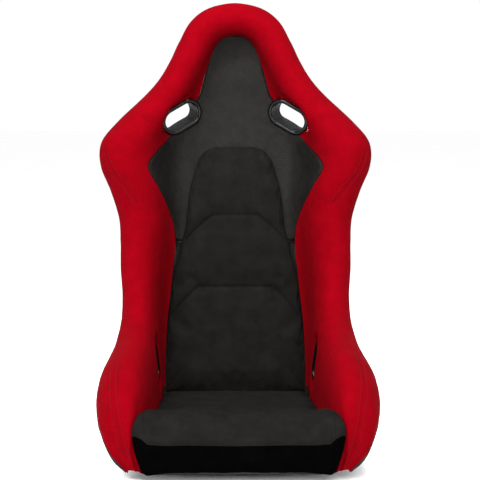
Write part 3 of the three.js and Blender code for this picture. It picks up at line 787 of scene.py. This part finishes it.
def shell():
    stations = ribs_between(0, CROWN, 12)
    station, t, side, _ = across_whole(stations, lambda s: np.ones_like(s), 96, [0, 3 * MM])
    inner = surface(station, t, np.zeros_like(t), side)
    outer = boss_pad(surface(station, t, np.full_like(t, -SHELL_THICKNESS), side))
    hole = hole_cells(inner, BOTH_SLOTS, SHELL_HOLE_SPARE)
    inner, outer = (snap_to_slots(grid, BOTH_SLOTS, SHELL_HOLE_SPARE) for grid in (inner, outer))
    return solid_between("shell", inner, outer, lengths(outer), hole, folded=True), outer


def edge_trim():
    """Soft edging pushed over the shell's edge, swept round the whole rim and thinner at its two ends."""
    stations, side = over_the_crown(0.1, 2 * CROWN - 0.1, 12)
    ones = np.ones_like(stations)
    edge = base(stations, ones)
    normal = base_normal(stations, ones)
    down = edge - base(stations, 0.97 * ones)
    down /= np.linalg.norm(down, axis=1)[:, None]
    section = []
    for k in range(20):
        angle = 2 * math.pi * k / 20
        bulge = abs(math.cos(angle)) ** 0.7 * math.copysign(1, math.cos(angle))
        section.append((4.8 * MM * bulge - SHELL_THICKNESS / 2, 5.6 * MM * math.sin(angle) + 2.4 * MM))
    verts = []
    for i in range(len(stations)):
        size = 0.35 + 0.65 * smooth_step(0, 0.9, stations[i])
        for out, drop in section:
            point = edge[i] + down[i] * drop * size + normal[i] * (out * size)
            point[0] = 0 if stations[i] >= CROWN else point[0] * side[i]
            verts.append(point + SHIFT)
    return new_piece("edge_trim", verts, tube_faces(len(stations), len(section)))


# ---------------------------------------------------------------- the padded covers

# Sewn seams in the red cover on each side: first and last rib, t at each, half the distance between the
# two rows of stitches at each.
COVER_SEAMS = {
    "hip": (0.5, 4.6, 0.735, 0.73, 7 * MM, 4 * MM),
    "shoulder": (12.35, 14.7, 0.655, 0.765, 5 * MM, 5 * MM),
}
FOOT_RADIUS = 7 * MM


def cover_relief(station, t, distance):
    """What the cover adds to the padding: gentle waves, and a valley along each sewn seam."""
    relief = 0.45 * MM * waviness(base(station, t), 90 * MM, 3)
    relief += 0.22 * MM * waviness(base(station, t), 34 * MM, 4)
    for first, last, t_first, t_last, _, _ in COVER_SEAMS.values():
        share = np.clip((station - first) / (last - first), 0, 1)
        seam_at = t_first + (t_last - t_first) * share
        inside = smooth_step(first - 0.1, first + 0.1, station)
        inside = inside * (1 - smooth_step(last - 0.1, last + 0.1, station))
        row = [np.interp(at[0], ts, ds) for at, ts, ds in zip(seam_at, t, distance)]
        off = distance - np.array(row)[:, None]
        relief += inside * (line_groove(off, 1.1 * MM, 1.6 * MM) + line_groove(off, 0.9 * MM, 9 * MM))
    return relief


def cover_height(station, t, distance):
    """The cover's inner edge goes down by the liner, or a little way against the shoulder panel."""
    full = padding(station, t)
    rise = pillow(distance, FOOT_RADIUS)
    behind = smooth_step(11.3, 12.1, station)
    low = 4.4 * MM * (1 - behind) + behind * (full - 5.5 * MM)
    fade = pillow(distance, 20 * MM) * (1 - smooth_step(0.86, 0.96, t))
    return low + (full - low) * rise + cover_relief(station, t, distance) * fade


def rim_rows(stations, inner, outer_t, columns):
    outer = np.full_like(stations, outer_t)
    return place_by_distance(
        stations, inner(stations), outer, lambda length: spread(length, columns, EDGE_STEPS))


def flat_at_crown(station, *grids):
    """Puts the points at and past the crown's rib on the middle plane."""
    over_crown = (station >= CROWN)[..., None] * np.array([1.0, 0, 0])
    return [grid * (1 - over_crown) for grid in grids]


def bolster_cover():
    stations, side = over_the_crown(0, 2 * CROWN, 14)
    t, distance = rim_rows(stations, seam_t, 1.0, 92)
    station = np.repeat(stations[:, None], t.shape[1], axis=1)
    height = cover_height(station, t, distance)
    top = surface(station, t, height, side[:, None])
    under = surface(station, t, height - COVER_THICKNESS, side[:, None])
    top, under = (dip_to_bezels(grid) for grid in flat_at_crown(station, top, under))
    hole = hole_cells(top, BOTH_SLOTS, BEZEL_FLANGE - 1.5 * MM)
    top, under = (snap_to_slots(grid, BOTH_SLOTS, BEZEL_FLANGE) for grid in (top, under))
    return solid_between("bolster_cover", top, under, lengths(top), hole)


def shoulder_panel():
    stations = ribs_between(PANEL_FROM, CROWN, 16)
    station, t, side, inward = across_whole(stations, lambda s: seam_t(s, 1.0 * MM), 60, EDGE_STEPS)
    full = padding(station, t)
    waves = 0.5 * MM * waviness(base(station, t) * mirrored(side), 110 * MM, 8)
    height = full - 4.6 * MM * (1 - pillow(inward, 6 * MM)) + waves * pillow(inward, 20 * MM)
    top = surface(station, t, height, side)
    under = surface(station, t, height - COVER_THICKNESS, side)
    top, under = (dip_to_bezels(grid, ("shoulder",)) for grid in (top, under))
    hole = hole_cells(top, ("shoulder",), BEZEL_FLANGE)
    top, under = (snap_to_slots(grid, ("shoulder",), BEZEL_FLANGE) for grid in (top, under))
    return solid_between("shoulder_panel", top, under, lengths(top), hole, folded=True)


def panel_foam():
    stations = ribs_between(PANEL_FROM + 0.1, CROWN, 8)
    station, t, side, _ = across_whole(stations, lambda s: seam_t(s, 12 * MM), 40, [0, 2 * MM, 5 * MM])
    top_height = padding(station, t) - COVER_THICKNESS - 3.8 * MM
    top = surface(station, t, np.maximum(top_height, 3.4 * MM), side)
    under = surface(station, t, np.full_like(t, 2.4 * MM), side)
    top = dip_to_bezels(top, ("shoulder",), 9 * MM)
    hole = hole_cells(top, ("shoulder",), BEZEL_FLANGE + 2 * MM)
    return solid_between("shoulder_panel_foam", top, under, lengths(top), hole, folded=True)


def bolster_foam(name, start, end):
    stations, side = over_the_crown(start, end, 8)
    side = -side[:, None] if name.endswith("right") else side[:, None]
    t, _ = rim_rows(stations, lambda s: seam_t(s, -12 * MM), 0.78, 40)
    station = np.repeat(stations[:, None], t.shape[1], axis=1)
    under_cover = padding(station, t) - COVER_THICKNESS - 2.4 * MM
    top = surface(station, t, np.maximum(under_cover, 4.4 * MM), side)
    under = surface(station, t, np.full_like(t, 3.6 * MM), side)
    top, under = flat_at_crown(station, top, under)
    top = dip_to_bezels(top, below=8 * MM)
    hole = hole_cells(top, BOTH_SLOTS, BEZEL_FLANGE + 2 * MM)
    return solid_between(name, top, under, lengths(top), hole)


def liner(name, start, end):
    stations = ribs_between(start, end, 10)
    station, t, side, _ = across_whole(stations, lambda s: seam_t(s, 8 * MM), 40, [0, 2 * MM])
    high = surface(station, t, LINER_HIGH + 0.2 * MM * waviness(base(station, t), 25 * MM, 5), side)
    low = surface(station, t, np.full_like(t, LINER_LOW), side)
    return solid_between(name, high, low, lengths(high))


# ---------------------------------------------------------------- cushions

def eased(count, power):
    """Places from 0 to 1, closer together at both ends."""
    a = np.linspace(-1, 1, count)
    return 0.5 * (1 + np.sign(a) * (1 - (1 - np.abs(a)) ** power))


def curve_weights(coarse, fine):
    """Weights that turn a row of coarse values into a smooth row of fine ones."""
    weights = np.zeros((fine, coarse))
    at = np.linspace(0, coarse - 1, fine)
    for row, x in enumerate(at):
        i = min(int(x), coarse - 2)
        f = x - i
        shares = (
            0.5 * (-f + 2 * f ** 2 - f ** 3), 0.5 * (2 - 5 * f ** 2 + 3 * f ** 3),
            0.5 * (f + 4 * f ** 2 - 3 * f ** 3), 0.5 * (f ** 3 - f ** 2))
        for k, share in zip((i - 1, i, i + 1, i + 2), shares):
            weights[row, min(max(k, 0), coarse - 1)] += share
    return weights


def cushion_grid(rows, half_columns, start, end, outer):
    """station, t, side, distance in from the side edge and distance from each end, for one cushion."""
    stations = start + (end - start) * eased(rows, 1.5)
    share = np.linspace(0, 1, half_columns) ** 1.7
    t, inward = place_by_distance(
        stations, outer(stations), np.zeros_like(stations), lambda length: length * share)
    station, t, side, inward = both_sides(stations, t, inward)
    middle = base(stations, np.zeros_like(stations))
    walk = np.concatenate([[0], np.cumsum(np.linalg.norm(np.diff(middle, axis=0), axis=1))])[:, None]
    return station, t, side, inward, walk, walk[-1] - walk


def cushion_surfaces(grid, low, thickness):
    """Top and underside of a cushion, and where each of their points lies."""
    station, t, side, inward, after_start, before_end = grid
    lift = lift_direction(station)
    floor = base(station, t)
    up = lift + smooth_step(0.26, 0.42, t)[..., None] * (base_normal(station, t) - lift)
    up /= np.linalg.norm(up, axis=-1)[..., None]
    under = floor + up * low(station, t)[..., None]
    middle = under.shape[1] // 2
    place = SimpleNamespace(
        station=station,
        x=side * under[..., 0],
        inward=inward,
        after_start=after_start,
        before_end=before_end,
        from_edge=under[:, :1, 0] - under[..., 0],
        height=((under - under[:, middle, None]) * lift).sum(-1))
    top = under + lift * thickness(place)[..., None]
    return top * mirrored(side) + SHIFT, under * mirrored(side) + SHIFT, place


def puff(top, under, held, pressure=2.5, slack=0.004, cap=6 * MM):
    """How far each point of a pad's top moves when the stuffing presses its cloth out, by simulation."""
    rows, columns = top.shape[:2]
    pad = solid_between("pad", top, under)
    mesh = pad.data
    start = np.empty(len(mesh.vertices) * 3)
    mesh.vertices.foreach_get("co", start)
    start = start.reshape(-1, 3)
    tree = KDTree(rows * columns)
    for k, point in enumerate(top.reshape(-1, 3)):
        tree.insert(Vector(point), k)
    tree.balance()
    found = [tree.find(Vector(point)) for point in start]
    held_points = held.reshape(-1)
    group = pad.vertex_groups.new(name="held")
    for k, (_, source, gap) in enumerate(found):
        if gap > 1e-4 or held_points[source]:
            group.add([k], 1.0, "REPLACE")
    cloth = pad.modifiers.new("cloth", "CLOTH")
    cloth.settings.quality = 6
    cloth.settings.mass = 0.25
    cloth.settings.tension_stiffness = 12
    cloth.settings.compression_stiffness = 6
    cloth.settings.shear_stiffness = 4
    cloth.settings.bending_stiffness = 0.4
    cloth.settings.shrink_min = -slack
    cloth.settings.use_pressure = True
    cloth.settings.uniform_pressure_force = pressure
    cloth.settings.vertex_group_mass = "held"
    cloth.settings.effector_weights.gravity = 0
    cloth.collision_settings.use_collision = False
    cloth.collision_settings.use_self_collision = False
    cloth.point_cache.frame_start = 1
    cloth.point_cache.frame_end = 20
    scene = bpy.context.scene
    for frame_number in range(1, 21):
        scene.frame_set(frame_number)
    evaluated = pad.evaluated_get(bpy.context.evaluated_depsgraph_get())
    moved = np.empty(len(start) * 3)
    evaluated.data.vertices.foreach_get("co", moved)
    step = moved.reshape(-1, 3) - start
    size = np.maximum(np.linalg.norm(step, axis=1), 1e-9)
    step *= (np.minimum(size, cap) / size)[:, None]
    shift = np.zeros((rows * columns, 3))
    for k, (_, source, gap) in enumerate(found):
        if gap <= 1e-4:
            shift[source] = step[k]
    scene.frame_set(1)
    bpy.data.objects.remove(pad)
    return shift.reshape(rows, columns, 3)


def cushion(name, start, end, outer, low, thickness, seams, rows, half_columns, painted_shade_seam=0.0):
    """A padded cushion: its form, the puff of its stuffing between the seams, then the sewn seams."""
    top, under, place = cushion_surfaces(cushion_grid(rows, half_columns, start, end, outer), low, thickness)
    rough_grid = cushion_grid(64, 27, start, end, outer)
    rough_top, rough_under, rough = cushion_surfaces(rough_grid, low, thickness)
    near_edge = (rough.inward < 1.5 * MM) | (np.minimum(rough.after_start, rough.before_end) < 1.5 * MM)
    shift = puff(rough_top, rough_under, (seams(rough) < 4 * MM) | near_edge)
    across = curve_weights(rough_top.shape[1], top.shape[1])
    along = curve_weights(rough_top.shape[0], top.shape[0])
    top = top + np.einsum("ai,ijk,bj->abk", along, shift, across)
    depth = line_groove(seams(place), 1.5 * MM, 1.5 * MM)
    depth = depth + 0.5 * MM * waviness(top, 60 * MM, 11) * pillow(place.inward, 25 * MM)
    top = top + lift_direction(place.station) * depth[..., None]
    piece = solid_between(name, top, under, lengths(top))
    finish_piece(piece, CLOTH, "cushion_cloth", name, body=name)
    # Below the skirt seam, the front faces take the near-black skirt cloth: painted shade under the roll,
    # not a different cloth.
    if painted_shade_seam:
        seam = top[np.argmin(np.abs(place.station[:, 0] - painted_shade_seam))]
        piece.data.materials.append(SKIRT_PAINTED_SHADE)
        for face in piece.data.polygons:
            below = face.center.z < np.interp(face.center.x, seam[:, 0], seam[:, 2])
            if below and face.center.y < SHIFT[1] - 250 * MM:
                face.material_index = 1
    return piece


def arch_distance(place, peak, flat, foot, drop):
    """Distance to a seam that runs level over the middle and falls down both sides."""
    across = np.abs(place.x)
    share = np.clip((across - flat) / (foot - flat), 0, 1.3)
    line = peak - drop * share ** 1.15
    slope = drop * 88 * MM / (foot - flat)
    leaning = np.where(across > flat, math.cos(math.atan(slope)), 1)
    return np.abs(place.station - line) * 80 * MM * leaning


ARCHES = (
    dict(peak=12.62, flat=46 * MM, foot=106 * MM, drop=0.62),
    dict(peak=10.92, flat=78 * MM, foot=128 * MM, drop=0.52),
)


def back_seams(place):
    return np.minimum(*(arch_distance(place, **arch) for arch in ARCHES))


def back_thickness(place):
    ends = np.minimum(place.after_start, place.before_end)
    side_edge = pillow(place.inward, 7 * MM) * pillow(ends, 7 * MM)
    crown = pillow(place.inward, 58 * MM) * pillow(ends, 46 * MM)
    valley = 1 - pillow(back_seams(place), 34 * MM)
    return (1 + 7.5 * side_edge + 14 * crown - 7.5 * valley * side_edge * crown ** 0.5) * MM


def back_outer(station):
    low = along_ribs(SEAM, station) - 6 * MM
    from_top = (BACK_CUSHION_TOP - station) * 67
    rounded = smooth_curve(from_top, [0, 6, 22, 56, 165, 400], [44, 58, 73, 86, 106, 112]) * MM
    half = low + (np.minimum(rounded, low) - low) * smooth_step(11.2, 12.4, station)
    return t_at_width(station, half)


def back_low(station, t):
    on_panel = padding(station, t) + 1.2 * MM
    share = smooth_step(PANEL_FROM - 1.2, PANEL_FROM - 0.5, station)
    return CUSHION_LOW + share * np.maximum(on_panel - CUSHION_LOW, 0)


# Half width of the seat cushion, measured on the shell, at these ribs.
SEAT_RIBS = [0.4, 1, 1.5, 2, 2.5, 3, 4, 5, 6, 7, 8, 8.25]
SEAT_WIDTHS = [180, 194, 202, 198, 191, 187, 181, 177, 173, 170, 168, 165]
SKIRT_SEAM = 1.3


def seat_outer(station):
    return t_at_width(station, smooth_curve(station, SEAT_RIBS, SEAT_WIDTHS) * MM)


def seat_low(station, t):
    """On the liner, and further out on the foot of the red cover."""
    foot = seam_t(station, 3 * MM)
    on_cover = np.maximum(padding(station, t) + 2.6 * MM - CUSHION_LOW, 0)
    return CUSHION_LOW + smooth_step(foot - 0.03, foot, t) * on_cover


def seat_seams(place):
    """The channel behind the front roll, and the seam under it."""
    channel = np.abs(place.station - 3.35 + 0.35 * (place.x / 0.19) ** 2) * 74 * MM
    skirt = np.abs(place.station - SKIRT_SEAM) * 38 * MM
    return np.minimum(channel, skirt)


def seat_thickness(place):
    station, across = place.station, np.abs(place.x)
    fill = 40 * smooth_step(2.4, 4, station) * (1 - smooth_step(6.6, 8.3, station))
    skirt = 1 - smooth_step(SKIRT_SEAM - 0.25, SKIRT_SEAM + 0.15, station)
    ends = pillow(place.after_start, 14 * MM) * pillow(place.before_end, 50 * MM)
    thigh = np.exp(-((across - 95 * MM) / (48 * MM)) ** 2) * np.exp(-((station - 2.4) / 1.5) ** 2)
    middle = (1 + (41 + fill - 19 * skirt) * ends + 6 * thigh) * MM
    edge = place.height[:, :1] + 1 * MM
    side_height = (3 + 15 * (1 - smooth_step(1.3, 2.1, station))) * MM
    beside = np.maximum(edge + side_height - middle, 0) * (1 - smooth_step(0, 70 * MM, place.from_edge))
    reach = (20 + 14 * smooth_step(1.5, 3, station)) * MM
    full = edge + (middle + beside - edge) * pillow(place.from_edge, reach)
    valley = (1 - pillow(seat_seams(place), 20 * MM)) * pillow(place.from_edge, 60 * MM) * ends
    return np.maximum(full - place.height - 4.5 * MM * valley, 1 * MM)


# ---------------------------------------------------------------- bezels and hardware

def shell_heights(slot, side, out, tree, count=144):
    """Height of the back of the shell, along a slot's axis, at a distance outside its opening."""
    middle, long, short, axis = slot_place(slot, side)
    points, outward = stadium(slot["length"], slot["width"], count)
    heights = []
    for flat in points + outward * out:
        start = middle + long * flat[0] + short * flat[1] - axis * 0.2
        hit = tree.ray_cast(Vector(start), Vector(axis))
        heights.append(hit[3] - 0.2 if hit[0] else -10 * MM)
    return np.array(heights)


# Sections of a bezel in millimetres, as distance outside the opening and height: the rounded lip of the
# collar, and the ring behind the shell.
LIP = [
    (0.3, -5.2), (0.5, -3.2), (1.3, -1.5), (2.8, -0.4), (4.6, 0),
    (6.6, -0.3), (8.4, -1.3), (9.6, -2.9), (10, -5)]
REAR_RING = [
    (3.2, -0.3), (5, -0.2), (8, -0.2), (9.6, -0.4), (10, -1.6),
    (9.5, -3.4), (8, -4.9), (6, -5.6), (4.2, -5.2), (3.2, -4)]
TUNNEL_RIBS = 7


def bezel(name, slot, side, tree):
    """A moulded bezel: a rounded collar, a tunnel with fine ribs, and a ring behind the shell."""
    collar = slot["collar"]
    near, far = (shell_heights(slot, side, out, tree) for out in (4 * MM, BEZEL_FLANGE))
    skirt = min(18 * MM, collar - 1 * MM)

    def front(k):
        end = near[k] - 7.5 * MM
        foot = collar - skirt
        loop = [(out * MM, collar + height * MM) for out, height in LIP]
        loop += [(BEZEL_FLANGE, foot), (9 * MM, foot - 0.4 * MM), (3.4 * MM, foot - 0.4 * MM)]
        loop += [(BEZEL_WALL, foot - 1.2 * MM), (BEZEL_WALL, end)]
        loop += [(2 * MM, end - 0.5 * MM), (0.5 * MM, end - 0.5 * MM), (0.1 * MM, end)]
        top = collar - 7 * MM
        for rib in range(TUNNEL_RIBS):
            for share, out in ((0.12, 0.0), (0.5, 0.0), (0.6, 0.9), (0.95, 0.9)):
                loop.append((out * MM, end + (top - end) * (rib + share) / TUNNEL_RIBS))
        return loop

    def rear(k):
        lean = (far[k] - near[k]) / 6
        return [(out * MM, near[k] + lean * (out - 4) + low * MM) for out, low in REAR_RING]

    part = "left" if side > 0 else "right"
    collar_piece = slot_ring(f"{name}_bezel_{part}", slot, side, front)
    ring_piece = slot_ring(f"{name}_bezel_{part}_rear_ring", slot, side, rear)
    finish_piece(collar_piece, PLASTIC, "bezel", f"{name}_bezel_{part}")
    finish_piece(ring_piece, PLASTIC, "bezel", f"{name}_bezel_{part}_rear_ring")


def turned(name, profile, place, count):
    """A turned part from a list of (radius, height), placed by a 4 by 4 matrix. Both ends are closed."""
    verts = []
    for radius, height in profile:
        for k in range(count):
            angle = 2 * math.pi * k / count
            verts.append(place @ Vector((radius * math.cos(angle), radius * math.sin(angle), height)))
    return new_piece(name, verts, tube_faces(len(profile), count))


def placed_at(middle, axis):
    """A matrix that puts Z along an axis at a point."""
    turn = Vector((0, 0, 1)).rotation_difference(Vector(axis)).to_matrix().to_4x4()
    return Matrix.Translation(Vector(middle)) @ turn


def cut_socket(piece, place, radius, low, high):
    """Cuts a hexagon socket into a screw's head."""
    cut_with(piece, [turned("socket", [(radius, low), (radius, high)], place, 6)])


def screw(node, slot, side):
    """A button-head screw where the CAD screw is."""
    middle, _, _, axis = slot_place(slot, side)
    verts = np.empty(len(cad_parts[node].data.vertices) * 3)
    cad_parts[node].data.vertices.foreach_get("co", verts)
    verts = verts.reshape(-1, 3)
    heights = (verts - middle) @ axis
    low, high = heights.min(), heights.max()
    centre = (verts.max(axis=0) + verts.min(axis=0)) / 2
    foot = centre + axis * (low - (centre - middle) @ axis)
    length = high - low
    profile = [(1.6, 0.0), (2.5, 0.3), (2.95, 0.9), (2.95, 1.6), (1.6, 1.7)]
    profile = [(r * MM, h * MM) for r, h in profile] + [(1.6 * MM, length - 1 * MM), (0.6 * MM, length)]
    place = placed_at(foot, axis)
    piece = turned(node, profile, place, 28)
    cut_socket(piece, place, 1.2 * MM, -1 * MM, 0.9 * MM)
    finish_piece(piece, BLACK_STEEL, "dark_steel", node)


def mount_bolt(node, side):
    middle, (reach, _, _) = box_of(node)
    place = placed_at(middle, (side, 0, 0))
    profile = [(3.2 * MM, -reach), (4 * MM, -reach + 0.8 * MM), (4 * MM, reach - 4.2 * MM)]
    profile += [(7.8 * MM, reach - 0.35 * MM), (7.9 * MM, reach - 0.15 * MM), (7.6 * MM, reach)]
    piece = turned(node, profile, place, 48)
    cut_socket(piece, place, 2.9 * MM, reach - 2.6 * MM, reach + 1 * MM)
    finish_piece(piece, BLACK_STEEL, "dark_steel", node)


def mount_plate(node, side, bolts):
    """A steel plate with rounded corners, countersunk for the bolts and bored for the side mount."""
    centre, (half, half_length, half_height) = box_of(node)
    outline = []
    corner = 7 * MM
    for start, cy, cz in ((0, 1, 1), (90, -1, 1), (180, -1, -1), (270, 1, -1)):
        for k in range(9):
            angle = math.radians(start + 90 * k / 8)
            y = cy * (half_length - corner) + corner * math.cos(angle)
            outline.append((y, cz * (half_height - corner) + corner * math.sin(angle)))
    verts = [(centre[0] + x, centre[1] + y, centre[2] + z) for x in (-half, half) for y, z in outline]
    count = len(outline)
    faces = [[k, (k + 1) % count, count + (k + 1) % count, count + k] for k in range(count)]
    faces += [list(range(count)), list(range(count, 2 * count))]
    piece = bevelled(new_piece(node, verts, faces), 0.8 * MM)
    cutters = []
    for bolt in bolts:
        at = placed_at((centre[0], box_of(bolt)[0][1], centre[2]), (side, 0, 0))
        profile = [(4.5, -9), (4.5, half / MM - 4.7), (8.6, half / MM), (8.6, half / MM + 2)]
        cutters.append(turned("hole", [(r * MM, h * MM) for r, h in profile], at, 48))
    for share in (-0.5, 0.5):
        at = placed_at((centre[0], centre[1] + share * FREE_BORE_SPACING, centre[2]), (side, 0, 0))
        cutters.append(turned("hole", [(4 * MM, -9 * MM), (4 * MM, 9 * MM)], at, 48))
    cut_with(piece, cutters)
    finish_piece(piece, BLACK_STEEL, "dark_steel", node)


# ---------------------------------------------------------------- stitches

def stitch_row(points, normals, pitch, radius):
    """Short rounded threads laid end to end along a line of points, each sunk a little at its ends."""
    steps = np.linalg.norm(np.diff(points, axis=0), axis=1)
    walk = np.concatenate([[0], np.cumsum(steps)])
    count = int(walk[-1] / pitch)
    verts, faces = [], []
    rings, around = 7, 6
    for k in range(count):
        start = len(verts)
        for ring in range(rings):
            share = ring / (rings - 1)
            along = (k + 0.12 + 0.76 * share) * pitch
            centre = np.array([np.interp(along, walk, points[:, c]) for c in range(3)])
            ahead = np.array([np.interp(along + 1e-3, walk, points[:, c]) for c in range(3)]) - centre
            normal = np.array([np.interp(along, walk, normals[:, c]) for c in range(3)])
            ahead /= max(np.linalg.norm(ahead), 1e-9)
            across = np.cross(ahead, normal)
            across /= np.linalg.norm(across)
            size = radius * math.sqrt(max(1 - (2 * share - 1) ** 4, 0.08))
            centre = centre + normal * radius * (0.9 - 1.3 * (2 * share - 1) ** 2)
            for m in range(around):
                angle = 2 * math.pi * m / around
                verts.append(centre + across * size * math.cos(angle) + normal * size * math.sin(angle))
        faces += tube_faces(rings, around, first=start)
    return verts, faces


def joined_rows(name, rows):
    verts, faces = [], []
    for row_verts, row_faces in rows:
        offset = len(verts)
        verts += row_verts
        faces += [[k + offset for k in face] for face in row_faces]
    return new_piece(name, verts, faces, weld=1e-7)


def nearest_on(tree, points):
    """The nearest points and normals of a finished surface."""
    spots, normals = [], []
    for point in points:
        spot, normal, _, _ = tree.find_nearest(Vector(point))
        spots.append(spot)
        normals.append(normal)
    return np.array(spots), np.array(normals)


def stitches_on_cover(cover):
    tree = BVHTree.FromObject(cover, bpy.context.evaluated_depsgraph_get())
    for part, side in SIDES:
        rows = []
        for first, last, t_first, t_last, apart_first, apart_last in COVER_SEAMS.values():
            stations = np.linspace(first, last, 120)
            share = (stations - first) / (last - first)
            seam = t_first + (t_last - t_first) * share
            apart = apart_first + (apart_last - apart_first) * share
            step = base(stations, seam + 0.005) - base(stations, seam - 0.005)
            speed = np.linalg.norm(step, axis=1) / 0.01
            for sign in (-1, 1):
                t = seam + sign * apart / speed
                wanted = surface(stations, t, padding(stations, t), side)
                rows.append(stitch_row(*nearest_on(tree, wanted), 5.4 * MM, 0.55 * MM))
        finish_piece(joined_rows(f"cover_stitching_{part}", rows), RED_THREAD, "red_cover")


# ---------------------------------------------------------------- the seat

shell_piece, shell_back = shell()
finish_piece(shell_piece, GEL_COAT, "shell", "shell")
rows, columns = shell_back.shape[:2]
behind_shell = BVHTree.FromPolygons(shell_back.reshape(-1, 3).tolist(), sheet_faces(rows, columns))

finish_piece(edge_trim(), RUBBER, "trim", "edge_trim")
finish_piece(liner("pan_liner", 0.3, CUSHION_BREAK - 0.05), FELT, "liner", "pan_liner")
finish_piece(liner("back_liner", CUSHION_BREAK + 0.05, PANEL_FROM - 0.03), FELT, "liner", "back_liner")

foams = {
    "bolster_foam_left": bolster_foam("bolster_foam_left", 1, 15.4),
    "bolster_foam_right": bolster_foam("bolster_foam_right", 1, 15.4),
    "head_foam": bolster_foam("head_foam", 15.5, 2 * CROWN - 15.5),
    "shoulder_panel_foam": panel_foam(),
}
for node, piece in foams.items():
    finish_piece(piece, FOAM, "foam", node)

cover = bolster_cover()
finish_piece(cover, RED, "red_cover", "bolster_cover")
panel = shoulder_panel()
finish_piece(panel, VINYL, "vinyl", "shoulder_panel")
stitches_on_cover(cover)

cushion("back_cushion", CUSHION_BREAK + 0.12, BACK_CUSHION_TOP, back_outer, back_low, back_thickness,
        back_seams, 230, 74)
cushion("seat_cushion", 0.4, CUSHION_BREAK - 0.1, seat_outer, seat_low, seat_thickness,
        seat_seams, 240, 84, SKIRT_SEAM)

for slot_name, slot_shape in SLOTS:
    for part, side in SIDES:
        bezel(slot_name, slot_shape, side, behind_shell)
        for number in (1, 2):
            screw(f"{slot_name}_bezel_{part}_screw_{number}", slot_shape, side)
for part, side in SIDES:
    bolts = [f"mount_bolt_{part}_{end}" for end in ("front", "rear")]
    mount_plate(f"mount_plate_{part}", side, bolts)
    for bolt in bolts:
        mount_bolt(bolt, side)
    for end in ("front", "rear"):
        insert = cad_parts[f"mount_insert_{part}_{end}"]
        insert.data.materials.clear()
        insert.data.materials.append(ZINC)


# ---------------------------------------------------------------- studio

def area_light(name, place, target, size, power):
    data = bpy.data.lights.new(name, "AREA")
    data.shape = "RECTANGLE"
    data.size, data.size_y = size
    data.energy = power
    light = bpy.data.objects.new(name, data)
    light.location = place
    light.rotation_euler = (Vector(target) - Vector(place)).to_track_quat("-Z", "Y").to_euler()
    bpy.context.scene.collection.objects.link(light)


def pale_floor():
    mesh = bpy.data.meshes.new("floor")
    corners = [(x * 30, y * 30, -0.5 * MM) for x, y in ((-1, -1), (1, -1), (1, 1), (-1, 1))]
    mesh.from_pydata(corners, [], [(0, 1, 2, 3)])
    floor = bpy.data.objects.new("floor", mesh)
    bpy.context.scene.collection.objects.link(floor)
    s = Shader("pale_floor", (0.98, 0.98, 0.98), 0.9, specular=0.1)
    s.colour(s.noise(3, 3), (0.97, 0.97, 0.97), (0.99, 0.99, 0.99))
    mesh.materials.append(s.material)


pale_floor()
world = bpy.data.worlds.new("studio")
world.use_nodes = True
world.node_tree.nodes["Background"].inputs["Color"].default_value = (1, 1, 1, 1)
world.node_tree.nodes["Background"].inputs["Strength"].default_value = 1.0
bpy.context.scene.world = world
bpy.context.scene.view_settings.view_transform = "Standard"

HEAD = (0, 0.05, 0.72)
area_light("key", (-1.3, -2.0, 2.3), HEAD, (1.4, 1.4), 160)
area_light("fill", (0.5, -3.0, 1.7), HEAD, (1.8, 1.8), 115)
area_light("top", (0.1, -0.7, 2.6), HEAD, (1.8, 1.2), 120)

ELEVATION, AZIMUTH, DISTANCE = math.radians(5), math.radians(-0.9), 3.3
SENSOR_MM, LENS_MM = 36, 123
AIM = Vector((0.007, SHIFT[1], 0.422))
camera_data = bpy.data.cameras.new("camera")
camera_data.sensor_width = SENSOR_MM
camera_data.lens = LENS_MM
camera = bpy.data.objects.new("camera", camera_data)
away = Vector((
    math.sin(AZIMUTH) * math.cos(ELEVATION), -math.cos(AZIMUTH) * math.cos(ELEVATION), math.sin(ELEVATION)))
camera.location = AIM + away * DISTANCE
camera.rotation_euler = (-away).to_track_quat("-Z", "Y").to_euler()
bpy.context.scene.collection.objects.link(camera)
bpy.context.scene.camera = camera
